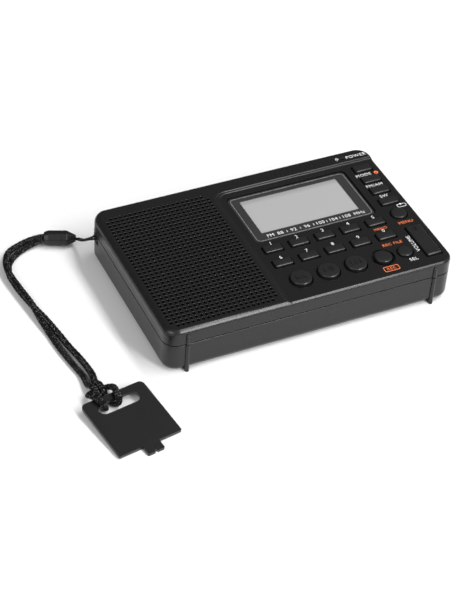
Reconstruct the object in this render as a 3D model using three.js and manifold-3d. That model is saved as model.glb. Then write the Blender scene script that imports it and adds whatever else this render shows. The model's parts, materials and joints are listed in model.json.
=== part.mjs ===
// A pocket AM/FM/shortwave receiver with a digital player, lying on its back.
// Millimetres, +Z up (towards the front face), +Y towards the top side with the aerial,
// +X towards the side with the sockets. The strap with its stand plate lies beside it.
import * as THREE from 'three';
import { mergeVertices } from 'three/addons/utils/BufferGeometryUtils.js';
import Module from 'manifold-3d';

const wasm = await Module();
wasm.setup();

// ---- Driving dimensions ------------------------------------------------------------------
const CASE_W = 120;
const CASE_D = 76;
const CASE_H = 20;
const CORNER_R = 5.5;
const WALL = 1.8;
const BACK_Z = 0.5; // the back face stands on four feet of this height
const SEAM_Z = 13.3;
const SEAM_GAP = 0.3;
const FRONT_EDGE_R = 1.2;
const BACK_EDGE_R = 2.6;
const CEILING_Z = 17.6; // underside of the front wall
const KEYPAD_Z = 19.4; // sunk floor that carries the display and the keys
const BACK_FLOOR_Z = 2.6; // inner face of the back wall
const RIB_R = 0.85;
const RIB_X = [-51.8, 51.4];
const GAP = 0.3;
const KEY_TRAVEL_ROOM = 0.35;

const KEYPAD = { left: -11, far: 30.6, cornerR: 4 };
const LENS = { x: 19.05, y: 12.95, w: 51.8, d: 28.9, r: 2, z0: 18.1, z1: 18.8 };
const GRILLE = { x: -35.05, y: -1.4, columns: 11, rows: 17, pitch: 4, hole: 1.5 };
const SPEAKER = { x: -34.5, y: 4, r: 20, sides: 24 };
const SCREWS = [
  { name: 'case_screw_left_top', x: -54, y: 22 },
  { name: 'case_screw_left_bottom', x: -54, y: -31.5 },
  { name: 'case_screw_right_top', x: 46.4, y: 29.7 },
  { name: 'case_screw_right_bottom', x: 46, y: -33.4 },
];
const BATTERY = { x: 14.5, y: -2, w: 53, d: 34, z0: 2.2, z1: 7.8 };
const POCKET = { x: 14.5, y: -2, w: 58, d: 35.4, z1: 8.3 };
const COVER = { x: 14.5, y: -2, w: 62, d: 41, r: 2, z1: 1.6 };
const AERIAL = { x: -51, y: 35.3, z: 3.95, r: 2.3, end: 44, step: 0.8 };
const REBATE = { left: -56, y: 32.6, z: 7 };
const BOARD = { z0: 13.4, z1: 14.6 };
const MAT = { z0: 14.9, z1: 15.9 };
const STRAP_POST = { x: -59.1, y: 32.3, r: 0.8 };
const CORD_R = 0.4; // thin cord loop
const BRAID_R = 1.0; // braided strap
const BRAID_STEPS = 160;
const PLATE = { x: -81.3, y: -55.4, z: 2.0, w: 26, d: 27.1, t: 1.2, turn: 9.4, tilt: 4.6 };

// ---- Materials -----------------------------------------------------------------------------
const material = (color, roughness, metalness = 0) =>
  new THREE.MeshStandardMaterial({ color, roughness, metalness });

const casePlastic = material(0x1d1d1e, 0.45);
const keyPlastic = material(0x252526, 0.4);
const darkPlastic = material(0x161617, 0.6);
const rubber = material(0x2b2b2c, 0.8);
const lensPlastic = material(0x4a4b4c, 0.12);
const displayGlass = material(0xb9bbba, 0.3);
const boardGreen = material(0x1f4a33, 0.6);
const chrome = material(0xc8cacc, 0.15, 1);
const steel = material(0x8d8f92, 0.3, 1);
const copper = material(0xb06a3a, 0.35, 1);
const ferrite = material(0x3a3836, 0.7);
const coneBlack = material(0x202020, 0.9);
const batteryGrey = material(0xc4c6c8, 0.5);
const nylon = material(0x17171a, 0.9);

// ---- Solids ----------------------------------------------------------------------------------
// A closed geometry as a solid: shared vertices are merged and collapsed faces dropped.
function solid(geometry) {
  const plain = geometry.clone();
  plain.deleteAttribute('normal');
  plain.deleteAttribute('uv');
  const merged = mergeVertices(plain, 1e-4);
  const index = merged.index.array;
  const faces = [];
  for (let i = 0; i < index.length; i += 3) {
    const [a, b, c] = [index[i], index[i + 1], index[i + 2]];
    if (a !== b && b !== c && c !== a) faces.push(a, b, c);
  }
  const vertProperties = new Float32Array(merged.attributes.position.array);
  const triVerts = new Uint32Array(faces);
  return new wasm.Manifold(new wasm.Mesh({ numProp: 3, vertProperties, triVerts }));
}

function geometryOf(manifold) {
  const mesh = manifold.getMesh();
  const positions = new Float32Array(mesh.numVert * 3);
  for (let i = 0; i < mesh.numVert; i += 1) {
    for (let k = 0; k < 3; k += 1) positions[3 * i + k] = mesh.vertProperties[i * mesh.numProp + k];
  }
  const geometry = new THREE.BufferGeometry();
  geometry.setAttribute('position', new THREE.BufferAttribute(positions, 3));
  geometry.setIndex(new THREE.BufferAttribute(new Uint32Array(mesh.triVerts), 1));
  geometry.computeVertexNormals();
  return geometry;
}

// A box between two opposite corners.
function box(x0, y0, z0, x1, y1, z1) {
  const geometry = new THREE.BoxGeometry(x1 - x0, y1 - y0, z1 - z0);
  geometry.translate((x0 + x1) / 2, (y0 + y1) / 2, (z0 + z1) / 2);
  return solid(geometry);
}

function roundedRect(w, d, r, x = 0, y = 0) {
  const shape = new THREE.Shape();
  const [left, right, near, far] = [x - w / 2, x + w / 2, y - d / 2, y + d / 2];
  shape.moveTo(left + r, near);
  shape.lineTo(right - r, near);
  shape.absarc(right - r, near + r, r, -Math.PI / 2, 0);
  shape.lineTo(right, far - r);
  shape.absarc(right - r, far - r, r, 0, Math.PI / 2);
  shape.lineTo(left + r, far);
  shape.absarc(left + r, far - r, r, Math.PI / 2, Math.PI);
  shape.lineTo(left, near + r);
  shape.absarc(left + r, near + r, r, Math.PI, Math.PI * 1.5);
  return shape;
}

function circle(r, x = 0, y = 0) {
  const shape = new THREE.Shape();
  shape.absarc(x, y, r, 0, Math.PI * 2);
  return shape;
}

// A shape raised from z0 to z1, with both edges rounded by `bevel`.
function slab(shape, z0, z1, bevel = 0, curveSegments = 4, bevelSegments = 2) {
  const geometry = new THREE.ExtrudeGeometry(shape, {
    depth: z1 - z0 - 2 * bevel,
    bevelEnabled: bevel > 0,
    bevelThickness: bevel,
    bevelSize: bevel,
    bevelOffset: -bevel,
    bevelSegments,
    curveSegments,
  });
  geometry.translate(0, 0, z0 + bevel);
  return solid(geometry);
}

// Cylinders along each axis, from a to b along it.
function cylinder(axis, r, a, b, u, v, sides = 16) {
  const geometry = new THREE.CylinderGeometry(r, r, b - a, sides);
  const middle = (a + b) / 2;
  if (axis === 'x') {
    geometry.rotateZ(Math.PI / 2);
    geometry.translate(middle, u, v);
  } else if (axis === 'y') {
    geometry.translate(u, middle, v);
  } else {
    geometry.rotateX(Math.PI / 2);
    geometry.translate(u, v, middle);
  }
  return solid(geometry);
}

// A profile of [radius, height] points that closes on itself, turned about +Z.
function turned(profile, sides = 16) {
  const points = profile.map(([r, h]) => new THREE.Vector2(r, h));
  const geometry = new THREE.LatheGeometry([...points, points[0].clone()], sides);
  geometry.rotateX(Math.PI / 2);
  return geometry;
}

// A round tube of radius r along a smooth curve through the points.
function sweep(points, r, sides, steps) {
  const through = points.map((p) => new THREE.Vector3(...p));
  const extrudePath = new THREE.CatmullRomCurve3(through, false, 'centripetal');
  const options = { extrudePath, steps, curveSegments: sides / 2 };
  return solid(new THREE.ExtrudeGeometry(circle(r), options));
}

const addAll = (first, ...rest) => rest.reduce((sum, s) => sum.add(s), first);
const cutAll = (first, ...rest) => rest.reduce((left, s) => left.subtract(s), first);

const radio = new THREE.Group();

function addPart(name, shape, surface, parent = radio) {
  const mesh = new THREE.Mesh(geometryOf(shape), surface);
  mesh.name = name;
  parent.add(mesh);
  return mesh;
}

// ---- Keys --------------------------------------------------------------------------------------
const KEY_TOP_Z = 20.3;
const FLANGE_Z0 = 16.7;
const FLANGE_Z1 = 17.3;
const FLANGE_OUT = 0.6;
const NUMBER_KEY = { w: 7.4, d: 3.8 };
const NUMBER_PITCH = { x: 11.1, y: 8.8 };
const NUMBER_ORIGIN = { x: -2.95, y: -7.0 };
const SIDE_KEY_X = 52.7;
const SIDE_KEY_PITCH = 7.5;
const SIDE_KEY_Y = 25.4;
const ROUND_ROW_Y = -26.8;
const SIDE_KEY_NAMES = ['key_power', 'key_mode', 'key_fm_am', 'key_sw'];
const ROUND_KEYS = [
  { name: 'key_previous', x: -0.7, y: ROUND_ROW_Y, r: 4.2, top: 20.7 },
  { name: 'key_play', x: 10.95, y: ROUND_ROW_Y, r: 4.2, top: 20.7 },
  { name: 'key_next', x: 22.6, y: ROUND_ROW_Y, r: 4.2, top: 20.7 },
  { name: 'key_record', x: 34.4, y: ROUND_ROW_Y, r: 3.5, top: 20.3 },
  { name: 'key_select', x: 43.8, y: -27, r: 2.9, top: 20.3 },
  { name: 'key_menu', x: 52.75, y: -5.5, r: 3.1, top: 20.3 },
];
const ROCKER = { x: 53.85, y: -23.5, w: 6.2, d: 18, z0: 16.4, z1: 17.0 };

function rectKeys() {
  const keys = [];
  for (let digit = 1; digit <= 10; digit += 1) {
    const column = (digit - 1) % 5;
    const row = Math.floor((digit - 1) / 5);
    const x = NUMBER_ORIGIN.x + column * NUMBER_PITCH.x;
    const y = NUMBER_ORIGIN.y - row * NUMBER_PITCH.y;
    keys.push({ name: `key_${digit % 10}`, x, y, ...NUMBER_KEY });
  }
  SIDE_KEY_NAMES.forEach((name, i) => {
    keys.push({ name, x: SIDE_KEY_X, y: SIDE_KEY_Y - i * SIDE_KEY_PITCH, ...NUMBER_KEY });
  });
  return keys;
}

function rectKey(key, flangeZ0 = FLANGE_Z0, flangeZ1 = FLANGE_Z1) {
  const cap = slab(roundedRect(key.w, key.d, 0.7, key.x, key.y), flangeZ0, KEY_TOP_Z, 0.35, 2, 1);
  const [w, d] = [key.w / 2 + FLANGE_OUT, key.d / 2 + FLANGE_OUT];
  return cap.add(box(key.x - w, key.y - d, flangeZ0, key.x + w, key.y + d, flangeZ1));
}

function roundKey(key) {
  const cap = slab(circle(key.r, key.x, key.y), FLANGE_Z0, key.top, 0.35, 8, 1);
  return cap.add(cylinder('z', key.r + FLANGE_OUT, FLANGE_Z0, FLANGE_Z1, key.x, key.y));
}

function keyOpenings() {
  const room = 2 * KEY_TRAVEL_ROOM;
  const rects = [...rectKeys(), ROCKER].map((k) =>
    box(k.x - (k.w + room) / 2, k.y - (k.d + room) / 2, CEILING_Z - 1,
      k.x + (k.w + room) / 2, k.y + (k.d + room) / 2, CASE_H + 1));
  const rounds = ROUND_KEYS.map((k) =>
    cylinder('z', k.r + KEY_TRAVEL_ROOM, CEILING_Z - 1, CASE_H + 1, k.x, k.y));
  return [...rects, ...rounds];
}

// ---- Front shell -------------------------------------------------------------------------------
function leftShoulder() {
  const [x, z, run] = [-CASE_W / 2, CASE_H, 2.7];
  const wedge = new THREE.Shape();
  wedge.moveTo(x - 1, z + 1);
  wedge.lineTo(x - 1, z - run - 1);
  wedge.lineTo(x + 0.35, z - 0.9);
  wedge.lineTo(x + 1.1, z - 0.3);
  wedge.lineTo(x + run + 1, z + 1);
  const prism = new THREE.ExtrudeGeometry(wedge, { depth: CASE_D + 2, bevelEnabled: false });
  prism.rotateX(Math.PI / 2);
  prism.translate(0, CASE_D / 2 + 1, 0);
  return solid(prism);
}

function keypadRecess() {
  const { left, far, cornerR } = KEYPAD;
  const shape = new THREE.Shape();
  shape.moveTo(left, -CASE_D / 2 - 1);
  shape.lineTo(CASE_W / 2 + 1, -CASE_D / 2 - 1);
  shape.lineTo(CASE_W / 2 + 1, far);
  shape.lineTo(left + cornerR, far);
  shape.absarc(left + cornerR, far - cornerR, cornerR, Math.PI / 2, Math.PI);
  return slab(shape, KEYPAD_Z, CASE_H + 1);
}

function grilleHoles() {
  const { x, y, columns, rows, pitch, hole } = GRILLE;
  const holes = [];
  for (let i = 0; i < columns; i += 1) {
    for (let j = 0; j < rows; j += 1) {
      const hx = x + (i - (columns - 1) / 2) * pitch;
      const hy = y + (j - (rows - 1) / 2) * pitch;
      const inside = Math.hypot(hx - SPEAKER.x, hy - SPEAKER.y) < SPEAKER.r - 3;
      if (inside) {
        const half = hole / 2;
        holes.push(box(hx - half, hy - half, CEILING_Z - 1, hx + half, hy + half, CASE_H + 1));
      }
    }
  }
  return holes;
}

function frontCase() {
  const outer = slab(roundedRect(CASE_W, CASE_D, CORNER_R), 2, CASE_H, FRONT_EDGE_R, 4, 2);
  const belowSeam = box(-CASE_W, -CASE_D, 0, CASE_W, CASE_D, SEAM_Z);
  const inner = roundedRect(CASE_W - 2 * WALL, CASE_D - 2 * WALL, CORNER_R - WALL);
  const bosses = SCREWS.map((s) => cylinder('z', 2.4, SEAM_Z, CEILING_Z + 0.1, s.x, s.y));
  const bores = SCREWS.map((s) => cylinder('z', 1.25, SEAM_Z - 1, 17, s.x, s.y, 12));
  const ribs = RIB_X.map((x) => rib(x, SEAM_Z, 17.8));
  const { x, y, w, d, r, z0 } = LENS;
  const lensSeat = slab(roundedRect(w + 2 * GAP, d + 2 * GAP, r, x, y), z0 - GAP, CASE_H + 1);
  const lensWindow = slab(roundedRect(w - 5, d - 4.5, 1, x, y), CEILING_Z - 1, CASE_H + 1, 0, 2);
  const micHole = cylinder('z', 0.5, CEILING_Z - 1, CASE_H + 1, 48.2, 33.6, 8);
  const hollow = cutAll(outer, leftShoulder(), belowSeam, slab(inner, 0, CEILING_Z), keypadRecess());
  return cutAll(
    addAll(hollow, ...bosses, ...ribs), ...bores,
    lensSeat, lensWindow, micHole, ...keyOpenings(), ...grilleHoles(),
  );
}

// A half-round rib on the bottom side, from z0 to z1.
function rib(x, z0, z1) {
  return cylinder('z', RIB_R, z0, z1, x, -CASE_D / 2, 8);
}

// ---- Rear shell --------------------------------------------------------------------------------
const STAND_SLOT = { x: 14, y: -28.2, w: 7.4, d: 1.8, z1: 5.5 };
const SIDE_SOCKETS_Z = 10.4;
const HEADPHONE_Y = 21.4;
const AUX_Y = -18;
const USB = { y: 12, w: 7.6, z0: 9.7, z1: 12.4 };
const CARD = { y: -2, w: 14, z0: 10.9, z1: 13.1 };

function feet() {
  const farFeet = [-48, 46].map((x) => cylinder('z', 2.5, 0, 1.2, x, 25, 12));
  const nearFeet = RIB_X.map((x) =>
    box(x - RIB_R, -CASE_D / 2, 0, x + RIB_R, -CASE_D / 2 + 6, 3));
  return [...farFeet, ...nearFeet];
}

function sideOpenings() {
  const x = CASE_W / 2;
  return [
    cylinder('x', 3.1, x - 4, x + 1, HEADPHONE_Y, SIDE_SOCKETS_Z),
    cylinder('x', 3.1, x - 4, x + 1, AUX_Y, SIDE_SOCKETS_Z),
    box(x - 4, USB.y - USB.w / 2 - GAP, USB.z0 - GAP, x + 1, USB.y + USB.w / 2 + GAP, USB.z1 + GAP),
    box(x - 4, CARD.y - 6, 11.1, x + 1, CARD.y + 6, 12.6),
  ];
}

function strapPocket() {
  const block = box(-59, 28.4, 7.8, -54.8, 36.4, SEAM_Z - SEAM_GAP);
  const pocket = box(-61, 29.8, 9.4, -56.2, 35, SEAM_Z);
  const post = cylinder('z', STRAP_POST.r, 9, SEAM_Z - SEAM_GAP, STRAP_POST.x, STRAP_POST.y, 10);
  return { block, pocket, post };
}

function rearCase() {
  const outer = slab(roundedRect(CASE_W, CASE_D, CORNER_R), BACK_Z, 24, BACK_EDGE_R, 4, 3);
  const aboveSeam = box(-CASE_W, -CASE_D, SEAM_Z - SEAM_GAP, CASE_W, CASE_D, 30);
  const inner = roundedRect(CASE_W - 2 * WALL, CASE_D - 2 * WALL, CORNER_R - WALL);
  const strap = strapPocket();
  const { x, y, w, d, z1 } = POCKET;
  const pocketWalls = box(x - w / 2 - 1, y - d / 2 - 1, 1.5, x + w / 2 + 1, y + d / 2 + 1, z1 + 1);
  const columns = SCREWS.map((s) => cylinder('z', 2.9, 1.5, SEAM_Z - SEAM_GAP, s.x, s.y));
  const slotBlock = box(STAND_SLOT.x - 5, STAND_SLOT.y - 2.4, 1.5, STAND_SLOT.x + 5, STAND_SLOT.y + 2.4, 7);
  const rebateWall = box(-57.5, REBATE.y - 1.5, 1.5, 58.5, 36.6, REBATE.z + 1.4);
  const pivotBoss = box(AERIAL.x - 4, 27.3, 1.5, AERIAL.x + 4, REBATE.y, REBATE.z + 1.4);
  const body = cutAll(outer, aboveSeam, slab(inner, BACK_FLOOR_Z, 30));
  const blocks = [pocketWalls, ...columns, slotBlock, rebateWall, pivotBoss, strap.block];
  const filled = addAll(body, ...blocks, ...feet());
  const ribs = RIB_X.map((rx) => rib(rx, 0, SEAM_Z - SEAM_GAP));
  const screwHoles = SCREWS.flatMap((s) => [
    cylinder('z', 1.35, -1, SEAM_Z, s.x, s.y, 12),
    cylinder('z', 2.3, -1, 2.9, s.x, s.y, 12),
  ]);
  const { x: cx, y: cy, w: cw, d: cd, r: cr } = COVER;
  return cutAll(
    addAll(filled, ...ribs),
    box(x - w / 2, y - d / 2, -1, x + w / 2, y + d / 2, z1),
    slab(roundedRect(cw + 2 * GAP, cd + 2 * GAP, cr, cx, cy), -1, COVER.z1 + GAP),
    box(REBATE.left, REBATE.y, -1, CASE_W, CASE_D, REBATE.z),
    cylinder('y', 2.6, 28.3, REBATE.y + 1, AERIAL.x, AERIAL.z),
    box(STAND_SLOT.x - STAND_SLOT.w / 2, STAND_SLOT.y - STAND_SLOT.d / 2, -1,
      STAND_SLOT.x + STAND_SLOT.w / 2, STAND_SLOT.y + STAND_SLOT.d / 2, STAND_SLOT.z1),
    strap.pocket, ...sideOpenings(), ...screwHoles,
  ).add(strap.post);
}

function batteryCover() {
  const { x, y, w, d, r, z1 } = COVER;
  const plate = slab(roundedRect(w, d, r, x, y), BACK_Z, z1, 0, 3);
  const thumbRecess = cylinder('y', 9, y - 6, y + 6, x + w / 2 - 7, BACK_Z - 8.5, 20);
  const hooks = [-10, 10].map((dy) => box(x + 27.4, y + dy - 3, z1 - 0.1, x + 28.6, y + dy + 3, z1 + 2));
  return addAll(plate.subtract(thumbRecess), ...hooks);
}

function batteryContacts() {
  const x = BATTERY.x - BATTERY.w / 2 - GAP;
  const leaves = [-6, -2, 2].map((dy) => box(x - 1, BATTERY.y + dy - 1, 3.4, x, BATTERY.y + dy + 1, 6));
  return addAll(box(x - 1.9, BATTERY.y - 8, 2.8, x - 0.9, BATTERY.y + 4, 7.6), ...leaves);
}

function caseScrew({ x, y }) {
  const head = cylinder('z', 1.9, 0.9, 2.6, x, y, 12);
  const [long, thin, deep] = [1.2, 0.25, 1.5];
  const slot = box(x - long, y - thin, 0, x + long, y + thin, deep);
  const crossSlot = box(x - thin, y - long, 0, x + thin, y + long, deep);
  return cutAll(head, slot, crossSlot).add(cylinder('z', 1, 2.5, 16.5, x, y, 12));
}

// ---- Inside ------------------------------------------------------------------------------------
function mainBoard() {
  const sheet = box(-9, -34.6, BOARD.z0, 57, 27.4, BOARD.z1);
  const holes = SCREWS.map((s) => cylinder('z', 2.8, 13, 15, s.x, s.y));
  return cutAll(sheet, ...holes);
}

function keyMat() {
  const underNumbers = box(-8, -33.2, MAT.z0, 57.6, -3.6, MAT.z1);
  const underSideKeys = box(47.5, -4, MAT.z0, 57.6, 27.2, MAT.z1);
  const sheet = underNumbers.add(underSideKeys);
  const holes = SCREWS.map((s) => cylinder('z', 2.8, 14, 17, s.x, s.y));
  return cutAll(sheet, ...holes);
}

// The speaker: basket, cone and magnet as profiles of [radius, height].
function speakerParts() {
  const { x, y, r } = SPEAKER;
  const basket = [
    [10.4, 12], [17, 15], [17.2, 16], [r, 16], [r, 17.3], [16, 17.3], [15.6, 15.3], [9.2, 12.4],
  ];
  const cone = [
    [4, 12.4], [8.9, 12.9], [15.2, 15.8], [15.4, 16.9], [14.6, 16.9],
    [14.2, 16.2], [7.5, 14], [0, 15], [0, 14], [4, 13.2],
  ];
  const magnet = [[0, 6.6], [9.8, 6.6], [10, 6.8], [10, 11.6], [0, 11.6]];
  const parts = [
    ['speaker_basket', basket, steel],
    ['speaker_cone', cone, coneBlack],
    ['speaker_magnet', magnet, steel],
  ];
  return parts.map(([name, profile, surface]) => {
    const geometry = turned(profile, SPEAKER.sides);
    geometry.translate(x, y, 0);
    return [name, solid(geometry), surface];
  });
}

// The medium-wave aerial: a ferrite rod along X inside the top side, with its winding.
const ROD = { y: 31.6, z: 12.2, r: 2.3, x0: -10, x1: 36 };

function aerialCoil() {
  const outer = cylinder('x', 3.4, 4, 20, ROD.y, ROD.z);
  return outer.subtract(cylinder('x', ROD.r + GAP, 3, 21, ROD.y, ROD.z));
}

function socketBody(y) {
  const body = box(46, y - 3.2, 7.8, CASE_W / 2 - 2.2, y + 3.2, 13.1);
  const barrel = cylinder('x', 2.8, CASE_W / 2 - 2.4, CASE_W / 2 - 0.1, y, SIDE_SOCKETS_Z);
  return body.add(barrel).subtract(cylinder('x', 1.8, 47.5, CASE_W / 2 + 1, y, SIDE_SOCKETS_Z, 12));
}

function usbSocket() {
  const x1 = CASE_W / 2 - 0.3;
  const shell = box(x1 - 5.4, USB.y - USB.w / 2, USB.z0, x1, USB.y + USB.w / 2, USB.z1);
  const half = USB.w / 2 - 0.5;
  const mouth = box(x1 - 4.8, USB.y - half, USB.z0 + 0.45, x1 + 1, USB.y + half, USB.z1 - 0.45);
  const tongue = box(x1 - 5, USB.y - 2, 10.9, x1 - 0.6, USB.y + 2, 11.4);
  return shell.subtract(mouth).add(tongue);
}

function cardSocket() {
  const shell = box(43.5, CARD.y - CARD.w / 2, CARD.z0, 57.8, CARD.y + CARD.w / 2, CARD.z1);
  return shell.subtract(box(45, CARD.y - 5.7, 11.4, 60, CARD.y + 5.7, 12.3));
}

// ---- Telescopic aerial: it lies along +X and tilts about its pin, which runs along Z ------------
function aerialBase() {
  const { x, y, z } = AERIAL;
  const post = cylinder('y', 2.3, 28.6, 33, x, z);
  const neck = box(x - 1.9, 32.9, z - 2, x + 1.9, y, z - 0.2);
  const tongue = cylinder('z', 2.1, z - 2, z - 0.2, x, y);
  const pin = cylinder('z', 0.6, z - 0.5, z + 2.4, x, y, 10);
  const head = cylinder('z', 1.25, z + 2.25, z + 2.6, x, y, 10);
  return addAll(post, neck, tongue, pin, head);
}

// A tube along X, shut at its root by a wall of `root` thickness.
function tube(outer, wall, x0, x1, root) {
  const whole = cylinder('x', outer, x0, x1, AERIAL.y, AERIAL.z, 12);
  return whole.subtract(cylinder('x', outer - wall, x0 + root, x1 + 1, AERIAL.y, AERIAL.z, 12));
}

function aerialSleeve() {
  const { x, y, z, r, end } = AERIAL;
  const tongue = cylinder('z', 2.1, z + 0.15, z + 1.95, x, y);
  const neck = box(x, y - 1.6, z + 0.15, x + 3.2, y + 1.6, z + 1.95);
  const pinHole = cylinder('z', 0.9, z - 1, z + 3, x, y, 10);
  return addAll(tube(r, 0.25, x + 2.9, end, 2.2), tongue, neck).subtract(pinHole);
}

const AERIAL_SECTIONS = [
  { name: 'aerial_section_2', r: 1.9, start: -45.6 },
  { name: 'aerial_section_3', r: 1.5, start: -44.1 },
  { name: 'aerial_section_4', r: 1.1, start: -42.6 },
];
const ROD_SECTION = { r: 0.7, start: -41.1 };
const AERIAL_TIP = { r: 2.1, length: 6.5 };

// ---- Strap, bead and stand plate ------------------------------------------------------------------
// Both ends of each loop are gripped inside the bead.
const BEAD = { from: [-63.5, 44.1, 3.4], to: [-75.3, 48.7, 3.4], r: 3.1 };
const CORD_ROUTE = [
  [-62.95, 43.1, 3.8], [-62.15, 39.3, 5.9], [-61.15, 35.3, 9.5], [-60.4, 33.6, 11.3],
  [-59.3, 33.6, 12.0], [-58.0, 33.0, 12.2], [-57.7, 32.3, 12.2], [-58.0, 31.5, 12.2],
  [-59.2, 30.9, 12.1], [-60.5, 31.6, 11.7], [-61.6, 34.1, 9.9], [-62.85, 38.8, 6.1],
  [-63.65, 42.6, 3.9],
];
// Middle line of the two strands from the bead to the stand plate, how far apart they lie there,
// and how far the outer one is lifted where it lies on top of the other.
const BRAID_ROUTE = [
  [-75.9, 48.9, 3.2, 2.2, 0], [-80, 49.9, 1.9, 2.9, 0], [-85, 48.8, 1.2, 2.9, 0.3],
  [-89.7, 45.9, 1.1, 2.5, 1.1], [-93.1, 41.2, 1.1, 1.2, 1.9], [-94.7, 35.5, 1.1, 0.5, 2.1],
  [-94.6, 29.5, 1.1, 0.3, 2.1], [-93.8, 22, 1.1, 0.3, 2.1], [-92.6, 14, 1.1, 0.9, 2.0],
  [-91.5, 6, 1.1, 2.2, 0.9], [-90.5, -2, 1.1, 2.8, 0], [-89.5, -11, 1.1, 3.4, 0],
  [-88.0, -20, 1.1, 3.8, 0], [-87.0, -28, 1.2, 3.4, 0],
];
// One side of the hitch, from its standing strand to its bight: sideways from the hitch's
// middle, beyond the plate's far edge, and height. The strands cross over the bight, pass below
// the plate's bar, come up through its slot and wrap back over the bar.
const HITCH_U = -2.6;
const HITCH_SIDE = [
  [1.5, 9, 1.9], [1.45, 6.8, 3.2], [1.4, 4.6, 3.2], [1.35, 2.6, 2.1], [1.35, 0.6, 1.1],
  [1.5, -2, 1.08], [2.2, -4.0, 1.35], [2.9, -4.9, 3.0], [3.3, -4.3, 4.5], [3.7, -2.2, 4.95],
  [4.3, 0.4, 4.8], [4.6, 2.6, 3.5], [4.0, 4.6, 1.9], [2.2, 5.7, 1.1],
];

// A point of the plate's own frame (u across, v towards its far edge, height above the floor).
function onPlate(u, v, height) {
  const turn = THREE.MathUtils.degToRad(PLATE.turn);
  return [
    PLATE.x + u * Math.cos(turn) - v * Math.sin(turn),
    PLATE.y + u * Math.sin(turn) + v * Math.cos(turn),
    height,
  ];
}

// One strand, on the near side of the middle line (side 1) or beyond it (side -1).
function strandPoints(side) {
  const last = BRAID_ROUTE.length - 1;
  const beside = BRAID_ROUTE.map(([x, y, z, spacing, lift], i) => {
    const before = BRAID_ROUTE[Math.max(i - 1, 0)];
    const next = BRAID_ROUTE[Math.min(i + 1, last)];
    const along = new THREE.Vector2(next[0] - before[0], next[1] - before[1]).normalize();
    const out = (side * spacing) / 2;
    return [x - along.y * out, y + along.x * out, side < 0 ? z + lift : z];
  });
  const hitch = HITCH_SIDE.map(([out, beyond, height]) =>
    onPlate(HITCH_U + side * out, PLATE.d / 2 + beyond, height));
  return [...beside, ...hitch];
}

function strap() {
  const points = [...strandPoints(-1), ...strandPoints(1).reverse()];
  return sweep(points, BRAID_R, 8, BRAID_STEPS);
}

function bead() {
  const [from, to] = [new THREE.Vector3(...BEAD.from), new THREE.Vector3(...BEAD.to)];
  const length = from.distanceTo(to);
  const { r } = BEAD;
  const profile = [
    [0, 0.2], [1.4, 0], [2.4, 1.6], [r, 3.6], [r, length - 1.4], [2.5, length], [0, length - 0.2],
  ];
  const geometry = new THREE.LatheGeometry(profile.map(([a, b]) => new THREE.Vector2(a, b)), 8);
  geometry.rotateX(Math.PI / 2);
  const axis = to.clone().sub(from).normalize();
  geometry.applyQuaternion(new THREE.Quaternion().setFromUnitVectors(new THREE.Vector3(0, 0, 1), axis));
  geometry.translate(...BEAD.from);
  return solid(geometry);
}

function standPlate() {
  const { w, d, t } = PLATE;
  const nearHalf = slab(roundedRect(w, d / 2, 0.5, 0, -d / 4), -t / 2, t / 2, 0, 2);
  const sheet = slab(roundedRect(w, d, 2), -t / 2, t / 2, 0, 4).add(nearHalf);
  const tab = box(-3.4, -d / 2 - 4, -t / 2, 3.4, -d / 2 + 1, t / 2);
  const notch = box(-0.6, -d / 2 - 5, -1, 0.6, -d / 2 - 3.3, 1);
  const slot = slab(roundedRect(16.7, 5, 2.49, 0, d / 2 - 5.5), -1, 1, 0, 5);
  return cutAll(sheet.add(tab), slot, notch);
}

// ---- Assembly ----------------------------------------------------------------------------------
addPart('front_case', frontCase(), casePlastic);
addPart('rear_case', rearCase(), casePlastic);
addPart('battery_cover', batteryCover(), casePlastic);
addPart('battery', box(
  BATTERY.x - BATTERY.w / 2, BATTERY.y - BATTERY.d / 2, BATTERY.z0,
  BATTERY.x + BATTERY.w / 2, BATTERY.y + BATTERY.d / 2, BATTERY.z1,
), batteryGrey);
addPart('battery_contacts', batteryContacts(), copper);
SCREWS.forEach((s) => addPart(s.name, caseScrew(s), steel));

const lensOutline = roundedRect(LENS.w, LENS.d, LENS.r, LENS.x, LENS.y);
addPart('display_lens', slab(lensOutline, LENS.z0, LENS.z1), lensPlastic);
addPart('display_module', box(-6.5, -1, 14.9, 42.5, 27, 17.3), displayGlass);
addPart('main_board', mainBoard(), boardGreen);
addPart('key_mat', keyMat(), rubber);
speakerParts().forEach(([name, shape, surface]) => addPart(name, shape, surface));
addPart('microphone', cylinder('z', 1.7, 14.9, 17.3, 48.2, 33.8), steel);
addPart('ferrite_rod', cylinder('x', ROD.r, ROD.x0, ROD.x1, ROD.y, ROD.z), ferrite);
addPart('ferrite_coil', aerialCoil(), copper);
addPart('headphone_socket', socketBody(HEADPHONE_Y), darkPlastic);
addPart('aux_socket', socketBody(AUX_Y), darkPlastic);
addPart('usb_socket', usbSocket(), steel);
addPart('card_socket', cardSocket(), steel);

rectKeys().forEach((key) => addPart(key.name, rectKey(key), keyPlastic));
ROUND_KEYS.forEach((key) => addPart(key.name, roundKey(key), keyPlastic));
addPart('key_volume', rectKey(ROCKER, ROCKER.z0, ROCKER.z1), keyPlastic);

addPart('aerial_base', aerialBase(), chrome);
addPart('aerial_section_1', aerialSleeve(), chrome);
AERIAL_SECTIONS.forEach(({ name, r, start }, i) => {
  addPart(name, tube(r, 0.25, start, AERIAL.end + (i + 1) * AERIAL.step, 1.2), chrome);
});
const rodEnd = AERIAL.end + 4 * AERIAL.step;
const { y: rodY, z: rodZ } = AERIAL;
const rod = cylinder('x', ROD_SECTION.r, ROD_SECTION.start, rodEnd, rodY, rodZ, 12);
addPart('aerial_section_5', rod, chrome);
const tip = cylinder('x', AERIAL_TIP.r, rodEnd + GAP, rodEnd + AERIAL_TIP.length, rodY, rodZ, 16);
addPart('aerial_tip', tip, chrome);

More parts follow.
